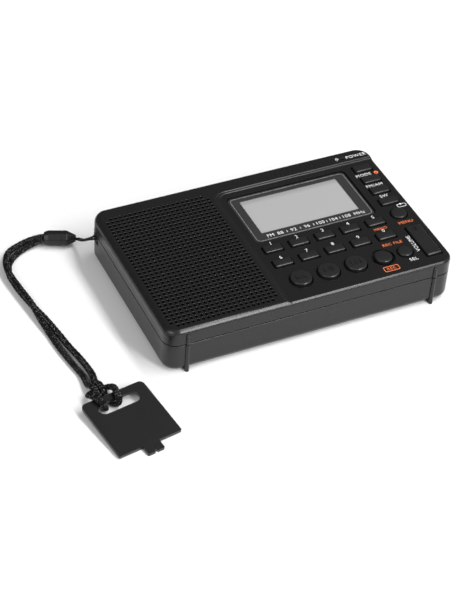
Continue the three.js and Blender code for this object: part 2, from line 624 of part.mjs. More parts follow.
addPart('strap_cord', sweep(CORD_ROUTE, CORD_R, 8, 44), nylon);
addPart('strap_bead', bead(), darkPlastic);
addPart('strap_braid', strap(), nylon);
const plate = addPart('stand_plate', standPlate(), casePlastic);
plate.rotation.set(THREE.MathUtils.degToRad(PLATE.tilt), 0, THREE.MathUtils.degToRad(PLATE.turn), 'ZXY');
plate.position.set(PLATE.x, PLATE.y, PLATE.z);

// The ribs stand out of the bottom side only, so the case sits half a rib behind the origin.
radio.position.y = RIB_R / 2;

export default radio;
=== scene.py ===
"""Looks of a pocket shortwave receiver that lies on its back beside its strap and stand plate."""
import json
import math

import bmesh
import bpy
from mathutils import Matrix, Vector

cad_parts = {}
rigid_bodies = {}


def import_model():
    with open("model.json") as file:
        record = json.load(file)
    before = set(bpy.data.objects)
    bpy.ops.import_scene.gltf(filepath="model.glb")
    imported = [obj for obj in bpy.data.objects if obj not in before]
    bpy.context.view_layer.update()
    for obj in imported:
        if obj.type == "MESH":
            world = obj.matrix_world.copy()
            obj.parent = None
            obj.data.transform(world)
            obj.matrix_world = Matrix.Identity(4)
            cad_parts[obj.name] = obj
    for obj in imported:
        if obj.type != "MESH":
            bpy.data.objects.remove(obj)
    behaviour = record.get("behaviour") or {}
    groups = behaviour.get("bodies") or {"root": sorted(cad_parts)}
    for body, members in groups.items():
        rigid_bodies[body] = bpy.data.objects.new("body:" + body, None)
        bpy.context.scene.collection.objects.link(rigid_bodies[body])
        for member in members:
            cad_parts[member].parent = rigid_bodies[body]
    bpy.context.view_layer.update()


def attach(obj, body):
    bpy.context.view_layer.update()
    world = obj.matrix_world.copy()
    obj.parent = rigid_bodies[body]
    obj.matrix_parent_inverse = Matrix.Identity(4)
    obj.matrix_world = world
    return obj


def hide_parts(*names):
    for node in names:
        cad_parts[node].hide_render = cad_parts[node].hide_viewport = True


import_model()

# ---- Measures, in millimetres in the case's own frame, whose middle is at x = y = 0 ----
MM = 0.001
CASE_Y = 0.425  # the case's middle in the part's frame
TO_PART = Matrix.Translation((0, CASE_Y * MM, 0)) @ Matrix.Scale(MM, 4)

CASE_W, CASE_D, TOP_Z = 120.0, 76.0, 20.0
CORNER_R, WALL = 5.5, 1.8
SEAM_Z, SEAM_GAP = 13.3, 0.3
FRONT_EDGE_R, SHOULDER_R, BACK_EDGE_R = 1.2, 2.7, 3.0
BACK_Z, BACK_FLOOR_Z = 0.5, 2.6
CEILING_Z, FLOOR_Z = 17.6, 19.4  # the front shell's inside, and the sunk keypad's floor
UNDER_FACE, OVER_FACE = 16, 22  # heights between which openings are cut through the front
RIB_R, RIB_X = 0.85, (-51.8, 51.4)
GAP = 0.3
KEY_ROOM = 0.55


# ---- Camera ----
VIEW_AZIMUTH, VIEW_ELEVATION, VIEW_ROLL = math.radians(-27.397), math.radians(41.529), math.radians(3.999)
VIEW_DISTANCE = 732.466
AIM_RIGHT, AIM_UP = -15.09, -12.52
LENS_MM, SENSOR_MM = 109.775, 36.0


def make_camera():
    flat = math.cos(VIEW_ELEVATION)
    look = Vector((-math.sin(VIEW_AZIMUTH) * flat, math.cos(VIEW_AZIMUTH) * flat, -math.sin(VIEW_ELEVATION)))
    right = look.cross(Vector((0, 0, 1))).normalized()
    up = right.cross(look)
    c, s = math.cos(VIEW_ROLL), math.sin(VIEW_ROLL)
    right, up = right * c + up * s, up * c - right * s
    place = right * AIM_RIGHT + up * AIM_UP - look * VIEW_DISTANCE
    camera = bpy.data.objects.new("camera", bpy.data.cameras.new("camera"))
    camera.data.lens, camera.data.sensor_width = LENS_MM, SENSOR_MM
    camera.data.clip_start, camera.data.clip_end = 0.05, 20
    turn = Matrix((right, up, -look)).transposed().to_4x4()
    camera.matrix_world = Matrix.Translation(TO_PART @ place) @ turn
    bpy.context.scene.collection.objects.link(camera)
    bpy.context.scene.camera = camera


make_camera()

# ---- Materials ----


class Nodes:
    """A material's node tree, built by short calls."""

    def __init__(self, name):
        self.material = bpy.data.materials.new(name)
        self.material.use_nodes = True
        self.tree = self.material.node_tree
        self.shader = self.tree.nodes["Principled BSDF"]
        self.place = self.add("ShaderNodeTexCoord").outputs["Object"]

    def add(self, kind, **values):
        node = self.tree.nodes.new(kind)
        for key, value in values.items():
            if hasattr(node, key):
                setattr(node, key, value)
            else:
                node.inputs[key.replace("_", " ")].default_value = value
        return node

    def link(self, source, target):
        self.tree.links.new(source, target)

    def noise(self, scale, detail=2.0, roughness=0.5):
        node = self.add("ShaderNodeTexNoise", Scale=scale, Detail=detail, Roughness=roughness)
        self.link(self.place, node.inputs["Vector"])
        return node.outputs["Fac"]

    def spread(self, source, low, high, start=0.3, end=0.7):
        node = self.add("ShaderNodeMapRange")
        for key, value in (("From Min", start), ("From Max", end), ("To Min", low), ("To Max", high)):
            node.inputs[key].default_value = value
        self.link(source, node.inputs["Value"])
        return node.outputs["Result"]

    def ramp(self, source, stops):
        node = self.add("ShaderNodeValToRGB")
        while len(node.color_ramp.elements) < len(stops):
            node.color_ramp.elements.new(0.5)
        for element, (at, colour) in zip(node.color_ramp.elements, stops):
            element.position, element.color = at, (*colour, 1)
        self.link(source, node.inputs["Fac"])
        return node.outputs["Color"]

    def bump(self, source, strength, distance):
        node = self.add("ShaderNodeBump", Strength=strength, Distance=distance)
        self.link(source, node.inputs["Height"])
        self.link(node.outputs["Normal"], self.shader.inputs["Normal"])

    def set(self, **values):
        for key, value in values.items():
            socket = self.shader.inputs[key.replace("_", " ")]
            socket.default_value = (*value, 1) if isinstance(value, tuple) else value


def grey(value, warm=0.0):
    return (value * (1 + warm), value, value * (1 - warm))


def plastic(name, value, roughness, grain=0.012, warm=0.01, gloss=0.42):
    """Moulded plastic: a fine spark-eroded grain, faint mottling and slightly uneven gloss."""
    m = Nodes(name)
    mottle_scale, gloss_scale, grain_scale = 60, 2200, 5200
    stops = [(0.3, grey(value * 0.95, warm)), (0.7, grey(value * 1.05, warm))]
    m.link(m.ramp(m.noise(mottle_scale, 2), stops), m.shader.inputs["Base Color"])
    uneven = m.spread(m.noise(gloss_scale, 2), roughness - 0.02, roughness + 0.03)
    m.link(uneven, m.shader.inputs["Roughness"])
    m.bump(m.noise(grain_scale, 2, 0.6), 0.3, grain * MM)
    m.set(IOR=1.5, Specular_IOR_Level=gloss)
    return m.material


def metal(name, colour, roughness, brushed=0.0):
    m = Nodes(name)
    stretch = m.add("ShaderNodeMapping")
    stretch.inputs["Scale"].default_value = (1 - brushed * 0.98, 1, 1)
    m.link(m.place, stretch.inputs["Vector"])
    streak = m.add("ShaderNodeTexNoise", Scale=1800, Detail=2)
    m.link(stretch.outputs["Vector"], streak.inputs["Vector"])
    darker = tuple(c * 0.86 for c in colour)
    m.link(m.ramp(streak.outputs["Fac"], [(0.35, darker), (0.65, colour)]), m.shader.inputs["Base Color"])
    m.link(m.spread(streak.outputs["Fac"], roughness * 0.8, roughness * 1.3), m.shader.inputs["Roughness"])
    m.bump(streak.outputs["Fac"], 0.15, 0.004 * MM)
    m.set(Metallic=1.0)
    return m.material


def ink(name, colour):
    """Screen-printed ink, slightly uneven."""
    m = Nodes(name)
    thin = tuple(c * 0.8 for c in colour)
    m.link(m.ramp(m.noise(3500, 2), [(0.3, thin), (0.55, colour)]), m.shader.inputs["Base Color"])
    m.link(m.spread(m.noise(1500), 0.45, 0.6), m.shader.inputs["Roughness"])
    return m.material


# The window's own grey, and a darker grey painted as shade along its far edge.
WINDOW_UNSHADED, WINDOW_PAINTED_SHADE = (0.35, 0.354, 0.352), (0.262, 0.265, 0.264)
CELL_SIZE, CELL_GAP = 0.0005, 0.00004


def display_material():
    """A blank liquid-crystal window: a faint grid of cells, and painted shade that darkens its far edge,
    standing in for the bezel's shadow.
    """
    m = Nodes("lcd_glass")
    split = m.add("ShaderNodeSeparateXYZ")
    m.link(m.place, split.inputs["Vector"])
    # Painted shade: the colour darkens towards the window's far edge, as if the bezel shadowed it.
    shade = m.spread(split.outputs["Y"], 0.0, 1.0, 22.0 * MM, 24.6 * MM)
    face = m.ramp(shade, [(0.0, WINDOW_UNSHADED), (0.9, WINDOW_PAINTED_SHADE)])
    cells = m.add("ShaderNodeTexBrick", Scale=1.0, Mortar_Size=CELL_GAP)
    cells.offset = 0.0
    for key, value in (("Brick Width", CELL_SIZE), ("Row Height", CELL_SIZE), ("Color1", (1, 1, 1, 1)),
                       ("Color2", (0.985, 0.985, 0.985, 1)), ("Mortar", (0.93, 0.94, 0.93, 1))):
        cells.inputs[key].default_value = value
    m.link(m.place, cells.inputs["Vector"])
    mix = m.add("ShaderNodeMix", data_type="RGBA", blend_type="MULTIPLY")
    mix.inputs["Factor"].default_value = 1.0
    m.link(face, mix.inputs["A"])
    m.link(cells.outputs["Color"], mix.inputs["B"])
    m.link(mix.outputs["Result"], m.shader.inputs["Base Color"])
    m.set(Roughness=0.35, Coat_Weight=0.6, Coat_Roughness=0.06)
    return m.material


def yarn_material():
    """Black nylon yarn: fine filaments along each bundle, with small pale spots between them painted as
    glints of the glossy filaments.
    """
    m = Nodes("braided_nylon")
    uv = m.add("ShaderNodeUVMap", uv_map="yarn")
    wave = m.add("ShaderNodeTexWave", Scale=1.0, Distortion=1.2, Detail=2.0)
    wave.bands_direction = "DIAGONAL"
    m.link(uv.outputs["UV"], wave.inputs["Vector"])
    dark = m.ramp(wave.outputs["Fac"], [(0.1, (0.0008, 0.0008, 0.0009)), (0.9, (0.004, 0.004, 0.0042))])
    # Painted highlights: small pale spots in the base colour stand in for glints off the glossy filaments.
    painted_glints = m.add("ShaderNodeTexVoronoi", Scale=0.62, Randomness=0.45)
    painted_glints.voronoi_dimensions = "2D"
    m.link(uv.outputs["UV"], painted_glints.inputs["Vector"])
    glint_mask = m.spread(painted_glints.outputs["Distance"], 1.0, 0.0, 0.09, 0.17)
    mix = m.add("ShaderNodeMix", data_type="RGBA")
    m.link(glint_mask, mix.inputs["Factor"])
    m.link(dark, mix.inputs["A"])
    mix.inputs["B"].default_value = (0.26, 0.26, 0.26, 1)
    m.link(mix.outputs["Result"], m.shader.inputs["Base Color"])
    m.link(m.spread(wave.outputs["Fac"], 0.65, 0.45, 0.0, 1.0), m.shader.inputs["Roughness"])
    m.bump(wave.outputs["Fac"], 0.6, 0.05 * MM)
    m.set(Specular_IOR_Level=0.08)
    return m.material


CASE = plastic("case_plastic", 0.0065, 0.25)
KEY = plastic("key_plastic", 0.010, 0.30, grain=0.008)
LENS_BORDER = plastic("display_border", 0.028, 0.2, grain=0.003)
DARK = plastic("dark_plastic", 0.005, 0.5)
BEAD = plastic("bead_plastic", 0.006, 0.32, grain=0.01, gloss=0.36)
PLATE = plastic("plate_plastic", 0.009, 0.24, grain=0.003, gloss=0.5)
RUBBER = plastic("key_rubber", 0.03, 0.75, grain=0.02)
BOARD = plastic("circuit_board", 0.03, 0.5)
CELL = plastic("battery_wrap", 0.45, 0.4)
FERRITE = plastic("ferrite", 0.03, 0.6)
CONE = plastic("speaker_cone_paper", 0.012, 0.85, grain=0.05)
CHROME = metal("aerial_chrome", (0.80, 0.81, 0.82), 0.10)
STEEL = metal("steel", (0.52, 0.53, 0.54), 0.28, brushed=0.8)
COPPER = metal("copper", (0.72, 0.40, 0.22), 0.3)
SILVER = metal("silver_line", (0.86, 0.86, 0.87), 0.3)
WHITE_INK = ink("white_ink", (0.9, 0.9, 0.9))
ORANGE_INK = ink("orange_ink", (0.98, 0.22, 0.07))
LCD = display_material()
YARN = yarn_material()

# ---- Mesh tools ----


def outline(x0, y0, x1, y1, r, steps=6):
    """Points and outward normals round a rectangle with rounded corners, counter-clockwise."""
    points = []
    corners = ((x1 - r, y0 + r, -90), (x1 - r, y1 - r, 0), (x0 + r, y1 - r, 90), (x0 + r, y0 + r, 180))
    for cx, cy, start in corners:
        for i in range(steps + 1):
            a = math.radians(start + 90 * i / steps)
            normal = Vector((math.cos(a), math.sin(a)))
            points.append((Vector((cx, cy)) + normal * r, normal))
    return points


def ring_at(points, inset, z):
    return [(p.x - n.x * inset, p.y - n.y * inset, z) for p, n in points]


def circle_ring(x, y, r, z, sides=40):
    turn = [2 * math.pi * i / sides for i in range(sides)]
    return [(x + r * math.cos(a), y + r * math.sin(a), z) for a in turn]


def add_loft(bm, rings, cap_start=True, cap_end=True, closed=False):
    """Adds faces between rings of equal length, with the ends shut unless the loft closes on itself."""
    rows = [[bm.verts.new(p) for p in ring] for ring in rings]
    pairs = list(zip(rows, rows[1:])) + ([(rows[-1], rows[0])] if closed else [])
    for a, b in pairs:
        n = len(a)
        for i in range(n):
            bm.faces.new((a[i], a[(i + 1) % n], b[(i + 1) % n], b[i]))
    if cap_start and not closed:
        bm.faces.new(list(reversed(rows[0])))
    if cap_end and not closed:
        bm.faces.new(rows[-1])


def add_prism(bm, points, z0, z1):
    add_loft(bm, [[(x, y, z) for x, y in points] for z in (z0, z1)])


def add_box(bm, x0, y0, z0, x1, y1, z1):
    add_prism(bm, ((x0, y0), (x1, y0), (x1, y1), (x0, y1)), z0, z1)


def box_bm(*corners):
    bm = bmesh.new()
    add_box(bm, *corners)
    return bm


def rounded_profile(z0, z1, r, steps=4, lower=0.0):
    """(inset, height) pairs up a wall from z0 to z1, its top edge rounded by r, its foot by lower."""
    turns = [math.radians(90 * i / steps) for i in range(steps + 1)]
    foot = [(0.0, z0)]
    if lower:
        foot = [(lower * (1 - math.sin(a)), z0 + lower * (1 - math.cos(a))) for a in turns]
    return foot + [(r * (1 - math.cos(a)), z1 - r * (1 - math.sin(a))) for a in turns]


def new_object(name, bm, material, in_case_frame=True):
    bmesh.ops.recalc_face_normals(bm, faces=bm.faces)
    if in_case_frame:
        bm.transform(TO_PART)
    mesh = bpy.data.meshes.new(name)
    bm.to_mesh(mesh)
    bm.free()
    mesh.materials.append(material)
    piece = bpy.data.objects.new(name, mesh)
    bpy.context.scene.collection.objects.link(piece)
    return piece


def smooth(piece, angle=35):
    piece.data.polygons.foreach_set("use_smooth", [True] * len(piece.data.polygons))
    piece.data.set_sharp_from_angle(angle=math.radians(angle))
    weighted = piece.modifiers.new("weighted", "WEIGHTED_NORMAL")
    weighted.keep_sharp = True
    weighted.weight = 90


def settle(piece):
    """Replaces a piece's mesh by the result of its modifiers."""
    graph = bpy.context.evaluated_depsgraph_get()
    mesh = bpy.data.meshes.new_from_object(piece.evaluated_get(graph))
    piece.modifiers.clear()
    piece.data = mesh


def cut(piece, cutter_bm, operation="DIFFERENCE", in_case_frame=True):
    cutter = new_object("cutter", cutter_bm, piece.data.materials[0], in_case_frame)
    change = piece.modifiers.new("cut", "BOOLEAN")
    change.object, change.operation, change.solver = cutter, operation, "MANIFOLD"
    settle(piece)
    bpy.data.objects.remove(cutter)


def bevel(piece, width, segments=2, angle=30):
    edge = piece.modifiers.new("edge", "BEVEL")
    edge.width, edge.segments = width * MM, segments
    edge.limit_method, edge.angle_limit = "ANGLE", math.radians(angle)
    edge.harden_normals = True


def finish_piece(piece, body, replaces=(), angle=35):
    smooth(piece, angle)
    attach(piece, body)
    if replaces:
        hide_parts(*replaces)
    return piece


def bm_slab(x0, y0, x1, y1, r, z0, z1, edge=0.0, lower=0.0, steps=6, bm=None):
    bm = bm or bmesh.new()
    rim = outline(x0, y0, x1, y1, r, steps)
    if edge:
        rows = [ring_at(rim, inset, z) for inset, z in rounded_profile(z0, z1, edge, lower=lower)]
    else:
        rows = [ring_at(rim, 0, z0), ring_at(rim, 0, z1)]
    add_loft(bm, rows)
    return bm


def add_turned(bm, axis, profile, u, v, sides=32):
    """A solid of revolution along X or Y, from (radius, distance) pairs."""
    turns = [2 * math.pi * k / sides for k in range(sides)]
    rings = []
    for r, along in profile:
        ring = [(u + r * math.cos(t), v + r * math.sin(t)) for t in turns]
        rings.append([(along, p, q) if axis == "x" else (p, along, q) for p, q in ring])
    add_loft(bm, rings)


def bm_turned(profile, sides=40, x=0.0, y=0.0, bm=None):
    """A solid of revolution about +Z from (radius, height) pairs, its ends flat."""
    bm = bm or bmesh.new()
    add_loft(bm, [circle_ring(x, y, max(r, 0.001), z, sides) for r, z in profile])
    return bm


# ---- Strap cord, bead and braid ----
PLATE_AT, PLATE_TURN, PLATE_TILT = Vector((-81.3, -55.4, 2.0)), math.radians(9.4), math.radians(4.6)
PLATE_W, PLATE_D, PLATE_T = 26.0, 27.1, 1.2
CORD_ROUTE = [
    (-62.95, 43.1, 3.8), (-62.15, 39.3, 5.9), (-61.15, 35.3, 9.5), (-60.4, 33.6, 11.3),
    (-59.3, 33.6, 12.0), (-58.0, 33.0, 12.2), (-57.7, 32.3, 12.2), (-58.0, 31.5, 12.2),
    (-59.2, 30.9, 12.1), (-60.5, 31.6, 11.7), (-61.6, 34.1, 9.9), (-62.85, 38.8, 6.1),
    (-63.65, 42.6, 3.9),
]
BRAID_ROUTE = [
    (-75.9, 48.9, 3.2, 2.2, 0), (-80, 49.9, 1.9, 2.9, 0), (-85, 48.8, 1.2, 2.9, 0.3),
    (-89.7, 45.9, 1.1, 2.5, 1.1), (-93.1, 41.2, 1.1, 1.2, 1.9), (-94.7, 35.5, 1.1, 0.5, 2.1),
    (-94.6, 29.5, 1.1, 0.3, 2.1), (-93.8, 22, 1.1, 0.3, 2.1), (-92.6, 14, 1.1, 0.9, 2.0),
    (-91.5, 6, 1.1, 2.2, 0.9), (-90.5, -2, 1.1, 2.8, 0), (-89.5, -11, 1.1, 3.4, 0),
    (-88.0, -20, 1.1, 3.8, 0), (-87.0, -28, 1.2, 3.4, 0),
]
HITCH_U = -2.6
HITCH_SIDE = [
    (1.5, 9, 1.9), (1.45, 6.8, 3.2), (1.4, 4.6, 3.2), (1.35, 2.6, 2.1), (1.35, 0.6, 1.1),
    (1.5, -2, 1.08), (2.2, -4.0, 1.35), (2.9, -4.9, 3.0), (3.3, -4.3, 4.5), (3.7, -2.2, 4.95),
    (4.3, 0.4, 4.8), (4.6, 2.6, 3.5), (4.0, 4.6, 1.9), (2.2, 5.7, 1.1),
]
BRAID_WIDTH, BRAID_THICKNESS, CORD_D = 2.4, 1.7, 0.8
YARN_TURNS = 6  # widths of the yarn pattern round a tube
CORD_STEP, CORD_LAY, CORD_YARN_R, CORD_YARN_OUT = 0.35, 2.6, 0.3, 0.17
BRAID_STEP, BRAID_PITCH, BRAID_BUNDLES = 0.3, 6.0, 6
BUNDLE_W, BUNDLE_T, BUNDLE_WEAVE = 0.46, 0.24, 0.13
CORD_STARTS, CORD_ENDS = (-64.6, 44.2, 3.5), (-65.2, 44.0, 3.5)  # inside the bead


def on_plate(u, v, height):
    c, s = math.cos(PLATE_TURN), math.sin(PLATE_TURN)
    return Vector((PLATE_AT.x + u * c - v * s, PLATE_AT.y + u * s + v * c, height))


def strand_points(side):
    points = []
    for i, (x, y, z, spacing, lift) in enumerate(BRAID_ROUTE):
        before, after = BRAID_ROUTE[max(i - 1, 0)], BRAID_ROUTE[min(i + 1, len(BRAID_ROUTE) - 1)]
        along = Vector((after[0] - before[0], after[1] - before[1])).normalized()
        out = side * spacing / 2
        points.append(Vector((x - along.y * out, y + along.x * out, z + (lift if side < 0 else 0))))
    return points + [on_plate(HITCH_U + side * out, PLATE_D / 2 + beyond, height)
                     for out, beyond, height in HITCH_SIDE]


def on_bead(side):
    """Where a strand is gripped inside the bead's wider end."""
    return Vector((-74.3, 48.3 - side * 1.1, 3.3))


def between(a, b, ta, tb, t):
    return a * ((tb - t) / (tb - ta)) + b * ((t - ta) / (tb - ta))


def smooth_path(points, spacing):
    """Evenly spaced points on the centripetal Catmull-Rom curve through the given ones."""
    points = [Vector(p) for p in points]
    ends = [points[0] * 2 - points[1], *points, points[-1] * 2 - points[-2]]
    dense = []
    for p0, p1, p2, p3 in zip(ends, ends[1:], ends[2:], ends[3:]):
        t1 = math.sqrt((p1 - p0).length)
        t2 = t1 + math.sqrt((p2 - p1).length)
        t3 = t2 + math.sqrt((p3 - p2).length)
        for i in range(24):
            t = t1 + (t2 - t1) * i / 24
            a1, a2, a3 = between(p0, p1, 0, t1, t), between(p1, p2, t1, t2, t), between(p2, p3, t2, t3, t)
            dense.append(between(between(a1, a2, 0, t2, t), between(a2, a3, t1, t3, t), t1, t2, t))
    dense.append(points[-1])
    lengths = [0.0]
    for a, b in zip(dense, dense[1:]):
        lengths.append(lengths[-1] + (b - a).length)
    count = max(2, round(lengths[-1] / spacing))
    out, k = [], 0
    for i in range(count + 1):
        want = lengths[-1] * i / count
        while k < len(dense) - 2 and lengths[k + 1] < want:
            k += 1
        share = (want - lengths[k]) / max(lengths[k + 1] - lengths[k], 1e-9)
        out.append(dense[k].lerp(dense[k + 1], min(max(share, 0.0), 1.0)))
    return out, lengths[-1]


def tangent_at(points, i):
    return (points[min(i + 1, len(points) - 1)] - points[max(i - 1, 0)]).normalized()


LEVELLING = 0.1  # how strongly each step turns the strap's flat side down


def frames_along(path):
    """Tangent, side and top at each point; the top is carried along and settles flat side down."""
    frames, top = [], Vector((0, 0, 1))
    for i, p in enumerate(path):
        tangent = tangent_at(path, i)
        top = top + Vector((0, 0, math.copysign(LEVELLING, top.z)))
        top = (top - tangent * top.dot(tangent)).normalized()
        frames.append((p, tangent, tangent.cross(top).normalized(), top))
    return frames


def add_tube(bm, frames, offsets, radii, sides, uv, yarn_scale, spacing):
    """A tube along offset positions in the frames; radii are (across, thick) at each point."""
    centres = [p + side * a + top * b for (p, _, side, top), (a, b) in zip(frames, offsets)]
    rows = []
    for i, centre in enumerate(centres):
        tangent = tangent_at(centres, i)
        side = frames[i][2]
        side = (side - tangent * side.dot(tangent)).normalized()
        top = side.cross(tangent)
        ra, rb = radii[i]
        rows.append([
            bm.verts.new(centre + side * (ra * math.cos(a)) + top * (rb * math.sin(a)))
            for a in (2 * math.pi * k / sides for k in range(sides))
        ])
    for i, (a, b) in enumerate(zip(rows, rows[1:])):
        for k in range(sides):
            face = bm.faces.new((a[k], a[(k + 1) % sides], b[(k + 1) % sides], b[k]))
            corners = ((i, k), (i, k + 1), (i + 1, k + 1), (i + 1, k))
            for loop, (row, column) in zip(face.loops, corners):
                loop[uv].uv = (row * spacing * yarn_scale, column / sides * YARN_TURNS)
    bm.faces.new(list(reversed(rows[0])))
    bm.faces.new(rows[-1])


def make_strap_cord():
    """The thin cord loop: two yarns laid round each other."""
    path, length = smooth_path([CORD_STARTS, *CORD_ROUTE, CORD_ENDS], CORD_STEP)
    frames = frames_along(path)
    bm = bmesh.new()
    uv = bm.loops.layers.uv.new("yarn")
    lay = 2 * math.pi / CORD_LAY
    for k in range(2):
        turn = [lay * CORD_STEP * i + math.pi * k for i in range(len(path))]
        offsets = [(CORD_YARN_OUT * math.cos(a), CORD_YARN_OUT * math.sin(a)) for a in turn]
        add_tube(bm, frames, offsets, [(CORD_YARN_R, CORD_YARN_R)] * len(path), 10, uv, 2.0, CORD_STEP)
    piece = new_object("strap_cord_thread", bm, YARN)
    finish_piece(piece, "radio", ["strap_cord"], 60)
    return piece, path, length


def make_braid():
    """Each strand is a flat tubular braid: bundles spiral both ways round a soft core."""
    points = [on_bead(-1), *strand_points(-1), *reversed(strand_points(1)), on_bead(1)]
    path, length = smooth_path(points, BRAID_STEP)
    frames = frames_along(path)
    step = length / (len(path) - 1)
    reach, height = BRAID_WIDTH / 2 - BUNDLE_T, BRAID_THICKNESS / 2 - BUNDLE_T
    bm = bmesh.new()
    uv = bm.loops.layers.uv.new("yarn")
    for way in (1, -1):
        for k in range(BRAID_BUNDLES):
            offsets, radii = [], []
            for i in range(len(path)):
                turn = 2 * math.pi * (way * i * step / BRAID_PITCH + k / BRAID_BUNDLES)
                weave = BRAID_BUNDLES * 2 * math.pi * i * step / BRAID_PITCH + math.pi * (k + (way > 0))
                lift = 1 + BUNDLE_WEAVE * math.cos(weave)
                offsets.append((reach * lift * math.cos(turn), height * lift * math.sin(turn)))
                widen = (BUNDLE_W - BUNDLE_T) * abs(math.sin(turn))
                radii.append((BUNDLE_T + widen, BUNDLE_W - widen))
            add_tube(bm, frames, offsets, radii, 8, uv, 1.6, step)
    core = [(0.0, 0.0)] * len(path)
    add_tube(bm, frames, core, [(reach * 0.92, height * 0.9)] * len(path), 12, uv, 1.6, step)
    piece = new_object("strap_braid_weave", bm, YARN)
    finish_piece(piece, "radio", ["strap_braid"], 60)
    return piece, path, length


BEAD_FROM, BEAD_TO = Vector((-63.5, 44.1, 3.4)), Vector((-75.3, 48.7, 3.4))


def make_bead():
    """An eight-sided barrel: a long taper at the cord's end, a chamfer at the strap's, and a fine groove."""
    axis = BEAD_TO - BEAD_FROM
    length = axis.length
    profile = [
        (0.75, 0.4), (0.8, 0.0), (1.05, 0.0), (1.3, 0.15), (2.95, 3.4), (3.1, 3.8),
        (3.1, 5.6), (3.02, 5.65), (3.02, 5.75), (3.1, 5.8), (3.1, length - 1.7), (2.98, length - 1.35),
        (2.45, length - 0.15), (2.3, length), (2.0, length), (1.95, length - 0.5),
    ]
    corner, ease = 22.5, 4.0
    bm = bmesh.new()
    rows = []
    for r, z in profile:
        ring = []
        for k in range(8):
            for side in (-1, 1):
                a = math.radians(45 * k + corner + side * ease)
                reach = r * math.cos(math.radians(corner)) / math.cos(math.radians(corner - ease))
                ring.append((reach * math.cos(a) * 1.04, reach * math.sin(a) * 1.04, z))
        rows.append(ring)
    add_loft(bm, rows)
    turn = axis.to_track_quat("Z", "Y").to_matrix().to_4x4()
    bm.transform(Matrix.Translation(BEAD_FROM) @ turn)
    piece = new_object("strap_bead_barrel", bm, BEAD)
    return finish_piece(piece, "radio", ["strap_bead"], 12)


def make_plate():
    """The stand plate: its slot near one end, a notched tongue at the other, all edges eased."""
    half_w, half_d, half_t = PLATE_W / 2, PLATE_D / 2, PLATE_T / 2
    bm = bm_slab(-half_w, -half_d, half_w, half_d, 2.0, -half_t, half_t, steps=8)
    piece = new_object("stand_plate_body", bm, PLATE, in_case_frame=False)
    near_half = bm_slab(-half_w, -half_d, half_w, 0, 0.5, -half_t, half_t)
    tongue = bm_slab(-3.4, -half_d - 4, 3.4, -half_d + 1, 0.5, -half_t + 0.01, half_t - 0.01)
    slot = bm_slab(-8.35, half_d - 8, 8.35, half_d - 3, 2.45, -2, 2, steps=8)
    notch = bm_slab(-0.6, -half_d - 5, 0.6, -half_d - 3.3, 0.3, -2, 2)
    for tool in (near_half, tongue):
        cut(piece, tool, "UNION", in_case_frame=False)
    for tool in (slot, notch):
        cut(piece, tool, in_case_frame=False)
    place = (Matrix.Translation(PLATE_AT) @ Matrix.Rotation(PLATE_TURN, 4, "Z")
             @ Matrix.Rotation(PLATE_TILT, 4, "X"))
    piece.data.transform(TO_PART @ place)
    bevel(piece, 0.32, 3)
    settle(piece)
    return finish_piece(piece, "radio", ["stand_plate"], 40)


bead = make_bead()
stand_plate = make_plate()
cord, cord_path, cord_length = make_strap_cord()
braid, braid_path, braid_length = make_braid()

# ---- Front shell ----
NEAR_EDGE_R = 1.9
KEYPAD_LEFT, KEYPAD_FAR, KEYPAD_R = -9.4, 30.2, 4.0
LENS_BOX = (-6.85, -1.5, 44.95, 27.4)
WINDOW_BOX = (-2.5, 3.7, 40.2, 24.5)
NUMBER_KEY = (7.4, 3.8)
KEY_PITCH_X, KEY_PITCH_Y = 11.1, 8.8
SIDE_KEYS = ["key_power", "key_mode", "key_fm_am", "key_sw"]
ROUND_KEYS = [
    ("key_previous", -0.7, -26.8, 4.2, 20.7), ("key_play", 10.95, -26.8, 4.2, 20.7),
    ("key_next", 22.6, -26.8, 4.2, 20.7), ("key_record", 34.4, -26.8, 3.5, 20.3),
    ("key_select", 43.8, -27.0, 2.9, 20.3), ("key_menu", 52.75, -5.5, 3.1, 20.3),
]
ROCKER = (53.85, -23.5, 6.2, 18.0)
RECORD_WELL = (34.4, -26.8, 4.75, 18.4)
MIC = (48.2, 33.6, 0.55)
KEYPAD_STEPS = [  # (reach, rise) up the sunk keypad's far wall
    (0, 0.0), (0.03, 0.12), (0.08, 0.21), (0.18, 0.28), (0.3, 0.30), (0.5, 0.30), (0.68, 0.30), (0.85, 0.30),
    (0.88, 0.42), (0.93, 0.51), (1.03, 0.58), (1.2, 0.62),
]
LIP_REACH, LIP_RISE = KEYPAD_STEPS[-1]
LIP_END = 1.5  # reach at which the cutter leaves the face
LEFT_STRETCH = 2.6  # how much wider the left slope is than the far wall
KEYPAD_EDGE_R = 1.1


def rect_keys():
    keys = []
    for i in range(10):
        keys.append((f"key_{(i + 1) % 10}", -2.95 + KEY_PITCH_X * (i % 5), -7.0 - KEY_PITCH_Y * (i // 5)))
    return keys + [(name, 52.7, 25.4 - 7.5 * i) for i, name in enumerate(SIDE_KEYS)]


def leftness(normal):
    """1 on the left side and 0 on the others, changing smoothly round the corners."""
    return max(0.0, -normal.x) ** 2


def shell_rings(rim, z_start):
    """Rings up the front shell's wall, over its rounded edges, which are larger on the left side."""
    rings = [ring_at(rim, 0.15, z_start), ring_at(rim, 0, z_start + 0.15)]
    steps = 8
    for i in range(steps + 1):
        a = math.radians(90 * i / steps)
        ring = []
        for p, n in rim:
            r = FRONT_EDGE_R + (SHOULDER_R - FRONT_EDGE_R) * leftness(n)
            r += (NEAR_EDGE_R - FRONT_EDGE_R) * max(0.0, -n.y) ** 2
            inset = r * (1 - math.cos(a))
            ring.append((p.x - n.x * inset, p.y - n.y * inset, TOP_Z - r * (1 - math.sin(a))))
        rings.append(ring)
    return rings


def slope_rise(out):
    """Height of the keypad's left slope over its floor, a soft rise without steps."""
    t = min(out / LIP_REACH, 1.0)
    return LIP_RISE * t * t * (3 - 2 * t)


